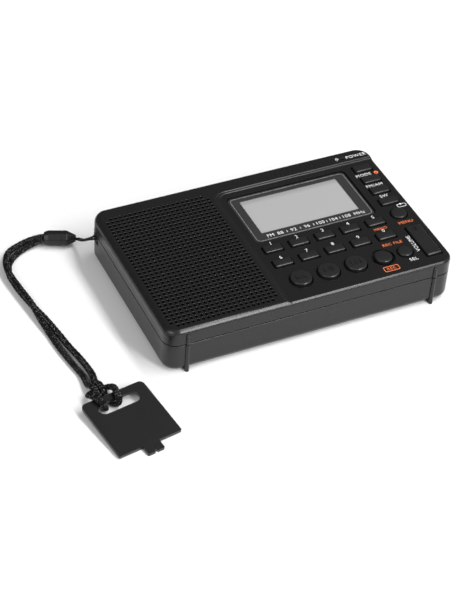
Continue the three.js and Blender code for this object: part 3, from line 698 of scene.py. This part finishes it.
def keypad_cutter():
    """The sunk keypad: two small rounded steps on its far side, a soft slope on its left."""
    rim = outline(KEYPAD_LEFT, -50, 70, KEYPAD_FAR, KEYPAD_R, 10)
    rings = []
    for out, rise in [*KEYPAD_STEPS, (LIP_END, LIP_RISE), (LIP_END, 2.0)]:
        ring = []
        for p, n in rim:
            left = leftness(n)
            reach = out * (1 + (LEFT_STRETCH - 1) * left) if n.x < 0.5 and n.y > -0.5 else 0.0
            lift = rise + (slope_rise(out) - rise) * left if rise < 1 else rise
            ring.append((p.x + n.x * reach, p.y + n.y * reach, FLOOR_Z + lift))
        rings.append(ring)
    bm = bmesh.new()
    add_loft(bm, rings)
    return bm


def keypad_edge_cutter():
    """Rounds the outer edge of the sunk keypad, from the near side round to the right side."""
    r, beyond = KEYPAD_EDGE_R, 1.0
    half_w, half_d = CASE_W / 2, CASE_D / 2
    near, right = Vector((0, -1)), Vector((1, 0))
    path = [(Vector((KEYPAD_LEFT - out * LEFT_STRETCH, -half_d)), near, slope_rise(out))
            for out in (LIP_END, LIP_REACH, 1.03, 0.85, 0.68, 0.5, 0.3, 0.18, 0.0)]
    path.append((Vector((half_w - CORNER_R, -half_d)), near, 0.0))
    for i in range(1, 12):
        a = math.radians(-90 + 90 * i / 12)
        n = Vector((math.cos(a), math.sin(a)))
        path.append((Vector((half_w - CORNER_R, -half_d + CORNER_R)) + n * CORNER_R, n, 0.0))
    path += [(Vector((half_w, y)), right, rise) for y, rise in
             ((-half_d + CORNER_R, 0.0), (29.9, 0.0), (30.5, 0.3), (31.6, LIP_RISE))]
    section = []
    for k in range(9):
        a = math.radians(90 * k / 8)
        section.append((r * (1 - math.cos(a)) - (0.0 if a else 0.02), FLOOR_Z - r * (1 - math.sin(a))))
    section += [(r, OVER_FACE), (-beyond, OVER_FACE), (-beyond, FLOOR_Z - r)]
    rings = []
    for p, n, rise in path:
        rings.append([(p.x - n.x * inset, p.y - n.y * inset, z + rise if z < OVER_FACE else z)
                      for inset, z in section])
    bm = bmesh.new()
    add_loft(bm, rings)
    return bm


def key_openings():
    bm = bmesh.new()
    w, d = NUMBER_KEY[0] / 2 + KEY_ROOM, NUMBER_KEY[1] / 2 + KEY_ROOM
    for _, x, y in rect_keys():
        bm_slab(x - w, y - d, x + w, y + d, 0.8, UNDER_FACE, OVER_FACE, steps=4, bm=bm)
    x, y, kw, kd = ROCKER
    w, d = kw / 2 + KEY_ROOM, kd / 2 + KEY_ROOM
    bm_slab(x - w, y - d, x + w, y + d, 0.9, UNDER_FACE, OVER_FACE, steps=4, bm=bm)
    for _, x, y, r, _ in ROUND_KEYS:
        bm_turned([(r + KEY_ROOM, UNDER_FACE), (r + KEY_ROOM, OVER_FACE)], 48, x, y, bm)
    return bm


GRILLE_X, GRILLE_Y = -56.2, -34.0  # the first hole
COLUMNS, ROWS, PITCH_X, PITCH_Y = 22, 34, 2.0143, 1.9758
BORE_R, BORE_RIM_R, BLIND_Z, THROUGH_Z = 0.67, 0.79, 18.3, 18.2
SPEAKER_X, SPEAKER_Y, SPEAKER_OPEN_R = -33.5, 5, 17.6


def grille_box():
    return (GRILLE_X - PITCH_X / 2, GRILLE_Y - PITCH_Y / 2,
            GRILLE_X + PITCH_X * (COLUMNS - 0.5), GRILLE_Y + PITCH_Y * (ROWS - 0.5))


def tile_edge(a):
    """Where the ray at angle a from a hole's middle leaves the hole's tile."""
    c, s = math.cos(a), math.sin(a)
    hx, hy = PITCH_X / 2, PITCH_Y / 2
    if abs(abs(c) - abs(s)) < 1e-6:
        return math.copysign(hx, c), math.copysign(hy, s)
    reach = min(hx / max(abs(c), 1e-6), hy / max(abs(s), 1e-6))
    return c * reach, s * reach


def grille_panel():
    """The perforated field: one tile per hole, open right through in front of the speaker."""
    bm = bmesh.new()
    angles = [math.radians(15 + 30 * k) for k in range(12)]
    edge = [tile_edge(a) for a in angles]
    for i in range(COLUMNS):
        for j in range(ROWS):
            cx, cy = GRILLE_X + i * PITCH_X, GRILLE_Y + j * PITCH_Y
            border = [(cx + ex, cy + ey, TOP_Z) for ex, ey in edge]
            if i in (0, COLUMNS - 1) and j in (0, ROWS - 1):
                bm.faces.new([bm.verts.new(p) for p in border])
                continue
            through = math.hypot(cx - SPEAKER_X, cy - SPEAKER_Y) < SPEAKER_OPEN_R
            depth = THROUGH_Z if through else BLIND_Z
            rows = [border]
            for r, z in ((BORE_RIM_R, TOP_Z), (BORE_R + 0.03, TOP_Z - 0.08), (BORE_R, TOP_Z - 0.15),
                         (BORE_R, depth)):
                rows.append([(cx + r * math.cos(a), cy + r * math.sin(a), z) for a in angles])
            add_loft(bm, rows, cap_start=False, cap_end=not through)
    bmesh.ops.remove_doubles(bm, verts=bm.verts, dist=0.001)
    return bm


def add_rib(bm, x, z0, z1, domed):
    """A half-round rib on the bottom side."""
    levels = [(1.0, z0), (1.0, z1 - (RIB_R if domed else 0))]
    if domed:
        rises = [math.radians(a) for a in (20, 40, 60, 80)]
        levels += [(math.cos(a), z1 - RIB_R + RIB_R * math.sin(a)) for a in rises]
    arc = [math.radians(180 + 180 * k / 16) for k in range(17)]
    side, root = -CASE_D / 2, -CASE_D / 2 + 0.6
    rings = []
    for scale, z in levels:
        r = RIB_R * scale
        ring = [(x + r * math.cos(a), side + r * math.sin(a), z) for a in arc]
        rings.append([(x - r, root, z), *ring, (x + r, root, z)])
    add_loft(bm, rings)


def append_mesh(piece, bm):
    """Joins a bmesh in the case's frame to a piece's mesh."""
    bmesh.ops.recalc_face_normals(bm, faces=bm.faces)
    bm.transform(TO_PART)
    bm.from_mesh(piece.data)
    bm.to_mesh(piece.data)
    bm.free()


def case_outlines():
    """The outlines of the case's outer and inner walls."""
    w, d = CASE_W / 2, CASE_D / 2
    return (outline(-w, -d, w, d, CORNER_R, 12),
            outline(-w + WALL, -d + WALL, w - WALL, d - WALL, CORNER_R - WALL, 12))


def make_front_case():
    rim, inner = case_outlines()
    bm = bmesh.new()
    add_loft(bm, [ring_at(inner, 0, CEILING_Z), ring_at(inner, 0, SEAM_Z), *shell_rings(rim, SEAM_Z)])
    piece = new_object("front_shell", bm, CASE)
    cut(piece, keypad_cutter())
    cut(piece, keypad_edge_cutter())
    x0, y0, x1, y1 = grille_box()
    cut(piece, box_bm(x0, y0, UNDER_FACE, x1, y1, OVER_FACE))
    x0, y0, x1, y1 = LENS_BOX
    cut(piece, bm_slab(x0 - GAP, y0 - GAP, x1 + GAP, y1 + GAP, 2.2, 17.9, OVER_FACE, steps=8))
    cut(piece, bm_slab(x0 + 2.6, y0 + 2.6, x1 - 2.6, y1 - 2.6, 1.0, UNDER_FACE, OVER_FACE))
    cut(piece, key_openings())
    x, y, r, z = RECORD_WELL
    well = [(r - 0.1, z), (r, z + 0.1), (r, FLOOR_Z - 0.05), (r + 0.2, FLOOR_Z + 0.3), (r + 0.2, OVER_FACE)]
    cut(piece, bm_turned(well, 48, x, y))
    x, y, r = MIC
    cut(piece, bm_turned([(r, UNDER_FACE), (r, 19.8), (r + 0.25, 20.1), (r + 0.25, OVER_FACE)], 24, x, y))
    append_mesh(piece, grille_panel())
    ribs = bmesh.new()
    for x in RIB_X:
        add_rib(ribs, x, SEAM_Z, 17.8, True)
    append_mesh(piece, ribs)
    return finish_piece(piece, "radio", ["front_case"], 28)


# ---- Rear shell ----
SCREWS = [(-54, 22), (-54, -31.5), (46.4, 29.7), (46, -33.4)]
POCKET_BOX = (-14.5, -19.7, 43.5, 15.7)
COVER_BOX = (-16.5, -22.5, 45.5, 18.5)
STAND_SLOT = (14.0, -28.2, 7.4, 1.8, 5.5)
SOCKET_Z, SOCKET_R, SOCKET_Y = 10.4, 3.1, (21.4, -18.0)
FOOT_X, FOOT_Y = (-48, 46), 25
CORD_POST = (-59.1, 32.3, 0.8)
SUPPORTS = [  # solid blocks inside, round the aerial's bed, its base, the stand's slot and the cord's post
    (-57.5, 31.1, 1.6, 58.5, 36.6, 8.4), (-55, 27.3, 1.7, -47, 32.6, 8.3),
    (9, -30.6, 1.5, 19, -25.8, 7), (-59, 28.4, 7.8, -54.8, 36.4, 12.9),
]


def back_edge_ring(rim, i, steps):
    a = math.radians(90 * i / steps)
    return ring_at(rim, BACK_EDGE_R * (1 - math.sin(a)), BACK_Z + BACK_EDGE_R * (1 - math.cos(a)))


def add_rear_supports(piece):
    """What stands on the rear shell's floor and back: the pocket's block, supports, screw posts and feet."""
    x0, y0, x1, y1 = POCKET_BOX
    for block in [(x0 - 1, y0 - 1, 1.5, x1 + 1, y1 + 1, 9.3), *SUPPORTS]:
        cut(piece, box_bm(*block), "UNION")
    posts = bmesh.new()
    for x, y in SCREWS:
        bm_turned([(2.9, 1.55), (2.9, 12.95)], 32, x, y, posts)
    cut(piece, posts, "UNION")
    for x in FOOT_X:
        foot = bm_turned([(2.0, 0.0), (2.35, 0.06), (2.5, 0.25), (2.5, 1.3)], 32, x, FOOT_Y)
        cut(piece, foot, "UNION")


def cut_rear_openings(piece):
    """The battery pocket, cover seat, aerial bed and bore, stand slot, screw holes and socket mouths."""
    x0, y0, x1, y1 = POCKET_BOX
    cut(piece, box_bm(x0, y0, -1, x1, y1, 8.3))
    x0, y0, x1, y1 = COVER_BOX
    cut(piece, bm_slab(x0 - GAP, y0 - GAP, x1 + GAP, y1 + GAP, 2.2, -1, 1.9))
    cut(piece, box_bm(-56, 32.6, -1, 70, 45, 7))
    bore = bmesh.new()
    add_turned(bore, "y", [(2.6, 28.3), (2.6, 33.6)], -51, 3.95)
    cut(piece, bore)
    x, y, w, d, z = STAND_SLOT
    holes = box_bm(x - w / 2, y - d / 2, -1, x + w / 2, y + d / 2, z)
    for x, y in SCREWS:
        bm_turned([(1.35, 2.0), (1.35, 14)], 24, x, y, holes)
    cut(piece, holes)
    holes = bmesh.new()
    for x, y in SCREWS:
        bm_turned([(2.5, -1), (2.5, BACK_Z), (2.3, BACK_Z + 0.2), (2.3, 2.9)], 32, x, y, holes)
    add_box(holes, -61, 29.8, 9.4, -56.2, 35, 14)
    for y in SOCKET_Y:
        add_turned(holes, "x", [(SOCKET_R, 56), (SOCKET_R, 59.9), (SOCKET_R + 0.3, 60.2)], y, SOCKET_Z)
    add_box(holes, 56, 12 - 4.1, 9.4, 61, 12 + 4.1, 12.7)
    add_box(holes, 56, -8.0, 11.1, 61, 4.0, 12.6)
    cut(piece, holes)


def make_rear_case():
    rim, inner = case_outlines()
    top = SEAM_Z - SEAM_GAP
    rings = [back_edge_ring(rim, i, 8) for i in range(9)]
    rings += [ring_at(rim, 0, top - 0.05), ring_at(rim, 0.05, top)]
    rings += [ring_at(inner, 0, top), ring_at(inner, 0, BACK_FLOOR_Z)]
    bm = bmesh.new()
    add_loft(bm, rings)
    piece = new_object("rear_shell", bm, CASE)
    add_rear_supports(piece)
    cut_rear_openings(piece)
    x, y, r = CORD_POST
    append_mesh(piece, bm_turned([(r, 9.2), (r, 13.0)], 20, x, y))
    ribs = bmesh.new()
    for x in RIB_X:
        add_rib(ribs, x, 0.0, top, False)
        add_box(ribs, x - RIB_R, -CASE_D / 2 + 0.2, 0.0, x + RIB_R, -CASE_D / 2 + 6, 2.4)
    append_mesh(piece, ribs)
    # A row of shallow bars on the back, behind the speaker.
    bars = bmesh.new()
    for k in range(9):
        x = -44 + 2.6 * k
        bm_slab(x - 0.45, -16, x + 0.45, 12, 0.42, 0.28, 0.9, edge=0.2, lower=0.2, steps=3, bm=bars)
    append_mesh(piece, bars)
    return finish_piece(piece, "radio", ["rear_case"], 28)


make_front_case()
make_rear_case()

# ---- Display ----


LENS_TOP = 18.8
SILVER_BOX = (-6.1, -0.75, 44.2, 26.65)
SILVER_W = 0.34


def make_display():
    lens = bm_slab(*LENS_BOX, 2.0, 18.1, LENS_TOP, edge=0.22, steps=10)
    border = new_object("display_lens_border", lens, LENS_BORDER)
    x0, y0, x1, y1 = WINDOW_BOX
    cut(border, bm_slab(x0, y0, x1, y1, 0.5, 17, 20, steps=4))
    finish_piece(border, "radio", ["display_lens"], 30)
    glass = bm_slab(x0 - 0.6, y0 - 0.6, x1 + 0.6, y1 + 0.6, 0.5, 17.9, 18.45)
    finish_piece(new_object("display_window", glass, LCD), "radio")
    rim = outline(*SILVER_BOX, 1.9, 10)
    low, high = LENS_TOP - 0.01, LENS_TOP + 0.03
    line = bmesh.new()
    rings = [ring_at(rim, inset, z) for inset, z in ((0, low), (0, high), (SILVER_W, high), (SILVER_W, low))]
    add_loft(line, rings, closed=True)
    finish_piece(new_object("display_silver_line", line, SILVER), "radio")


make_display()

# ---- Keys ----


def crown(rows, z_top, rise):
    """Adds a shallow crown above a loft's last ring."""
    last = rows[-1]
    cx = sum(p[0] for p in last) / len(last)
    cy = sum(p[1] for p in last) / len(last)
    for share in (0.85, 0.6, 0.3, 0.02):
        rows.append([(cx + (x - cx) * share, cy + (y - cy) * share, z_top + rise * (1 - share ** 2))
                     for x, y, _ in last])


KEY_TOP, KEY_RISE = 20.3, 0.12
FLANGE, FLANGE_FROM, FLANGE_TO = 0.6, 16.7, 17.3
ROUND_KEY_EDGE = 0.45
ROCKER_MARK_Z, ROCKER_MARKS = (20.0, 20.55), ((1.3, 6.5, 7.05), (0.27, 5.4, 8.15), (1.7, -7.05, -6.6))


def key_cap(x, y, w, d, r, z0=FLANGE_FROM, z1=FLANGE_TO, edge=0.36, rise=KEY_RISE):
    """A rectangular key: its flange, straight sides, a rounded shoulder and a crowned face."""
    x0, y0, x1, y1 = x - w / 2, y - d / 2, x + w / 2, y + d / 2
    bm = bm_slab(x0 - FLANGE, y0 - FLANGE, x1 + FLANGE, y1 + FLANGE, 0.5, z0, z1)
    rim = outline(x0, y0, x1, y1, r, 5)
    rows = [ring_at(rim, inset, z) for inset, z in rounded_profile(z1 - 0.1, KEY_TOP - rise, edge, 8)]
    crown(rows, KEY_TOP - rise, rise)
    add_loft(bm, rows)
    return bm


KEY_ICONS = {  # the raised marks: where the bars stand, then where the arrows stand and point
    "key_previous": ((-1.9,), ((0.1, -1), (2.0, -1))),
    "key_next": ((1.9,), ((-2.0, 1), (-0.1, 1))),
    "key_play": ((0.6, 1.6), ((-1.9, 1),)),
}
ARROW_HALF, BAR_HALF = 1.25, (0.18, 1.3)


def key_icon(name, x, y, bm, top):
    z0, z1 = top - 0.3, top + 0.22
    bars, arrows = KEY_ICONS.get(name, ((), ()))
    for at in bars:
        w, d = BAR_HALF
        add_box(bm, x + at - w, y - d, z0, x + at + w, y + d, z1)
    for at, way in arrows:
        tip = (x + at + way * ARROW_HALF * 1.35, y)
        add_prism(bm, [(x + at, y - ARROW_HALF), tip, (x + at, y + ARROW_HALF)][::way], z0, z1)


def finish_key(name, bm):
    finish_piece(new_object(f"{name}_cap", bm, KEY), name, [name], 30)


def make_keys():
    for name, x, y in rect_keys():
        finish_key(name, key_cap(x, y, *NUMBER_KEY, 0.6))
    for name, x, y, r, top in ROUND_KEYS:
        bm = bm_turned([(r + FLANGE, FLANGE_FROM), (r + FLANGE, FLANGE_TO)], 40, x, y)
        profile = rounded_profile(FLANGE_TO - 0.1, top - KEY_RISE, ROUND_KEY_EDGE, 7)
        rows = [circle_ring(x, y, r - inset, z, 56) for inset, z in profile]
        crown(rows, top - KEY_RISE, KEY_RISE)
        add_loft(bm, rows)
        key_icon(name, x, y, bm, top)
        finish_key(name, bm)
    x, y, w, d = ROCKER
    bm = key_cap(x, y, w, d, 0.7, z0=16.4, z1=17.0, edge=0.5, rise=0.05)
    z0, z1 = ROCKER_MARK_Z
    for half_w, low, high in ROCKER_MARKS:
        add_box(bm, x - half_w, y + low, z0, x + half_w, y + high, z1)
    finish_key("key_volume", bm)


make_keys()

# ---- Printed marks ----
NUMBER_MARK, WORD_MARK, SCALE_MARK = 1.8, 1.7, 1.75  # heights of the capitals
SIZE_PER_CAPITAL = 1.38
INK_HALF_T, INK_THINNER = 0.012, -0.018
SCALE_Y, SCALE_Z = 1.35, 18.805


def add_text(bm, text, x, y, size, z, angle=0.0):
    """Plain numerals and control words, a thin layer of ink on the surface."""
    curve = bpy.data.curves.new("mark", "FONT")
    curve.body, curve.size = text, size * SIZE_PER_CAPITAL
    curve.extrude, curve.offset = INK_HALF_T, INK_THINNER
    curve.align_x, curve.align_y = "CENTER", "CENTER"
    curve.space_character = 1.1
    curve.resolution_u = 3
    mark = bpy.data.objects.new("mark", curve)
    bpy.context.scene.collection.objects.link(mark)
    graph = bpy.context.evaluated_depsgraph_get()
    mesh = bpy.data.meshes.new_from_object(mark.evaluated_get(graph))
    turn = Matrix.Rotation(math.radians(angle), 4, "Z")
    mesh.transform(Matrix.Translation((x, y, z + INK_HALF_T)) @ turn)
    bm.from_mesh(mesh)
    bpy.data.objects.remove(mark)
    bpy.data.curves.remove(curve)
    bpy.data.meshes.remove(mesh)


def add_strip(bm, points, width, z, closed=False):
    """A flat printed line through the points."""
    points = [Vector(p) for p in points]
    count = len(points)
    left, right = [], []
    for i, p in enumerate(points):
        before = points[(i - 1) % count] if closed or i else p
        after = points[(i + 1) % count] if closed or i < count - 1 else p
        along = (after - before).normalized()
        normal = Vector((-along.y, along.x)) * width / 2
        left.append(bm.verts.new((p.x + normal.x, p.y + normal.y, z)))
        right.append(bm.verts.new((p.x - normal.x, p.y - normal.y, z)))
    for i in range(count if closed else count - 1):
        j = (i + 1) % count
        bm.faces.new((right[i], right[j], left[j], left[i]))


def add_frame(bm, box, r, width, z):
    add_strip(bm, [p for p, _ in outline(*box, r, 4)], width, z, True)


def ring_points(x, y, r, start=0, end=360, steps=20):
    return [(x + r * math.cos(math.radians(a)), y + r * math.sin(math.radians(a)))
            for a in (start + (end - start) * k / steps for k in range(steps + 1))]


def make_marks():
    white, orange, red = bmesh.new(), bmesh.new(), bmesh.new()
    z = FLOOR_Z + 0.005
    for digit in range(1, 11):
        column, row = (digit - 1) % 5, (digit - 1) // 5
        x, y = -2.3 + KEY_PITCH_X * column, -3.75 - KEY_PITCH_Y * row
        add_text(white, str(digit % 10), x, y, NUMBER_MARK, z)
    for text, x, y in (("MODE", 51.4, 21.6), ("FM/AM", 52.4, 14.15), ("SW", 52.7, 6.65),
                       ("SEL", 45.0, -31.9)):
        add_text(white, text, x, y, WORD_MARK, z)
    add_text(white, "POWER", 54.0, 33.6, WORD_MARK + 0.1, TOP_Z + 0.005)
    add_text(white, "VOLUME", 49.3, -23.6, WORD_MARK, z, angle=90)
    for text, x, y, size in (("MENU", 53.0, -10.9, 1.6), ("MEMO", 41.6, -11.1, 1.4),
                             ("REC FILE", 41.6, -20.8, 1.5)):
        add_text(orange, text, x, y, size, z)
    # A tuning scale under the window: figures with a tick between them.
    for k, text in enumerate(("88", "92", "96", "100", "104", "108")):
        x = 4.4 + 5.75 * k
        add_text(white, text, x, SCALE_Y, SCALE_MARK, SCALE_Z)
        if k < 5:
            add_strip(white, [(x + 2.9, 0.75), (x + 2.9, 1.95)], 0.18, 18.82)
    add_text(white, "FM", 0.2, SCALE_Y, SCALE_MARK, SCALE_Z)
    add_text(white, "MHz", 38.9, SCALE_Y, SCALE_MARK, SCALE_Z)
    # The marks beside the microphone, the menu key, the mode key and the record key.
    top = TOP_Z + 0.02
    add_strip(white, ring_points(45.5, 34.3, 0.38), 0.18, top, True)
    add_strip(white, ring_points(45.5, 34.2, 0.72, 180, 360, 10), 0.14, top)
    add_strip(white, [(45.5, 33.5), (45.5, 32.9)], 0.16, top)
    add_frame(white, (54.6, -1.9, 58.4, -0.1), 0.8, 0.22, z + 0.015)
    add_prism(white, [(56.1, -0.7), (57.0, -0.1), (56.1, 0.5)], z, z + 0.02)
    add_strip(red, ring_points(57.0, 21.5, 0.75), 0.32, z + 0.015, True)
    add_prism(red, [(56.3, 21.9), (57.7, 20.9), (57.9, 21.3), (56.5, 22.3)], z, z + 0.03)
    add_frame(orange, (31.3, -34.9, 37.5, -32.3), 0.5, 0.26, z + 0.015)
    add_text(orange, "REC", 34.4, -33.6, 1.5, z)
    for name, bm, material in (("print_white", white, WHITE_INK), ("print_orange", orange, ORANGE_INK),
                               ("print_red", red, ORANGE_INK)):
        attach(new_object(name, bm, material), "radio")


make_marks()

# ---- Telescopic aerial ----
AERIAL_Y, AERIAL_Z = 35.3, 3.95
INNER_SECTIONS = [  # (name, radius, start, end) with the aerial folded
    ("aerial_section_2", 1.9, -45.6, 44.8), ("aerial_section_3", 1.5, -44.1, 45.6),
    ("aerial_section_4", 1.1, -42.6, 46.4), ("aerial_section_5", 0.7, -41.1, 47.2),
]


def aerial_piece(profile, name):
    bm = bmesh.new()
    add_turned(bm, "x", profile, AERIAL_Y, AERIAL_Z, 36)
    return new_object(name, bm, CHROME)


def make_aerial():
    for name, r, start, end in INNER_SECTIONS:
        profile = [(r - 0.1, start), (r, start + 0.1), (r, end - 0.5), (r - 0.02, end - 0.3),
                   (r - 0.12, end - 0.1), (max(r - 0.3, 0.05), end)]
        finish_piece(aerial_piece(profile, f"{name}_tube"), name, [name], 40)
    tip = [(0.9, 47.5), (1.9, 47.55), (2.1, 47.8), (2.1, 48.6), (1.95, 48.75), (1.95, 48.95), (2.1, 49.1),
           (2.1, 53.0), (1.95, 53.4), (1.6, 53.66), (0.8, 53.7)]
    finish_piece(aerial_piece(tip, "aerial_tip_knob"), "aerial_section_5", ["aerial_tip"], 25)


make_aerial()

# ---- Carried CAD parts: eased edges and materials ----
CARRIED = {
    "battery_cover": (CASE, 0.2), "battery": (CELL, 0.6), "battery_contacts": (COPPER, 0.08),
    "display_module": (DARK, 0.1), "main_board": (BOARD, 0.05), "key_mat": (RUBBER, 0.1),
    "speaker_basket": (STEEL, 0.1), "speaker_cone": (CONE, 0.1), "speaker_magnet": (STEEL, 0.2),
    "microphone": (STEEL, 0.1), "ferrite_rod": (FERRITE, 0.1), "ferrite_coil": (COPPER, 0.1),
    "headphone_socket": (DARK, 0.12), "aux_socket": (DARK, 0.12), "usb_socket": (STEEL, 0.08),
    "card_socket": (STEEL, 0.08), "aerial_base": (CHROME, 0.12), "aerial_section_1": (CHROME, 0.08),
    **{f"case_screw_{side}_{end}": (STEEL, 0.08) for side in ("left", "right") for end in ("top", "bottom")},
}


def dress_cad_parts():
    for name, (material, width) in CARRIED.items():
        node = bpy.data.objects[name]
        node.data.materials.clear()
        node.data.materials.append(material)
        bevel(node, width, 2)


dress_cad_parts()

# ---- Floor, light ----


def make_stage():
    m = Nodes("paper")
    m.link(m.ramp(m.noise(30, 2), [(0.3, grey(0.80)), (0.7, grey(0.82))]), m.shader.inputs["Base Color"])
    m.set(Roughness=0.9, Specular_IOR_Level=0.1)
    bm = bmesh.new()
    half = 4.0
    corners = ((-half, -half), (half, -half), (half, half), (-half, half))
    bm.faces.new([bm.verts.new((x, y, 0)) for x, y in corners])
    floor = new_object("floor", bm, m.material, in_case_frame=False)


def add_light(name, place, along, size, power):
    """A soft box that faces the case; its longer side runs as close to `along` as it can."""
    data = bpy.data.lights.new(name, "AREA")
    data.shape, data.size, data.size_y, data.energy = "RECTANGLE", size[0], size[1], power
    light = bpy.data.objects.new(name, data)
    back = Vector(place).normalized()
    long_side = (Vector(along) - back * back.dot(Vector(along))).normalized()
    turn = Matrix((long_side.cross(back), long_side, back)).transposed().to_4x4()
    light.matrix_world = Matrix.Translation(place) @ turn
    bpy.context.scene.collection.objects.link(light)


BRIGHT_SIDE, DIM_SIDE = 0.70, 0.17  # the world's strength in front of the case and behind it
SOFT_BOXES = [  # name, place, direction of the longer side, size, power
    ("overhead", (0.42, -0.24, 0.98), (0, 1, 0), (0.20, 1.15), 9.0),
    ("front", (0.40, -1.05, 0.66), (0, 0.5, 0.86), (0.20, 0.8), 9.4),
    ("left_fill", (-0.95, -0.35, 0.75), (0, 1, 0), (0.7, 0.7), 4.2),
]


def make_light():
    """A world that is bright in front and dim behind, and three soft boxes."""
    world = bpy.data.worlds.new("studio")
    bpy.context.scene.world = world
    world.use_nodes = True
    tree = world.node_tree
    place = tree.nodes.new("ShaderNodeTexCoord")
    split = tree.nodes.new("ShaderNodeSeparateXYZ")
    fade = tree.nodes.new("ShaderNodeMapRange")
    fade.interpolation_type = "SMOOTHSTEP"
    for key, value in (("From Min", -0.1), ("From Max", 0.5), ("To Min", BRIGHT_SIDE), ("To Max", DIM_SIDE)):
        fade.inputs[key].default_value = value
    tree.links.new(place.outputs["Generated"], split.inputs["Vector"])
    tree.links.new(split.outputs["Y"], fade.inputs["Value"])
    tree.links.new(fade.outputs["Result"], tree.nodes["Background"].inputs["Strength"])
    tree.nodes["Background"].inputs["Color"].default_value = (1, 1, 1, 1)
    for box in SOFT_BOXES:
        add_light(*box)


make_stage()
make_light()
bpy.context.scene.view_settings.view_transform = "Standard"
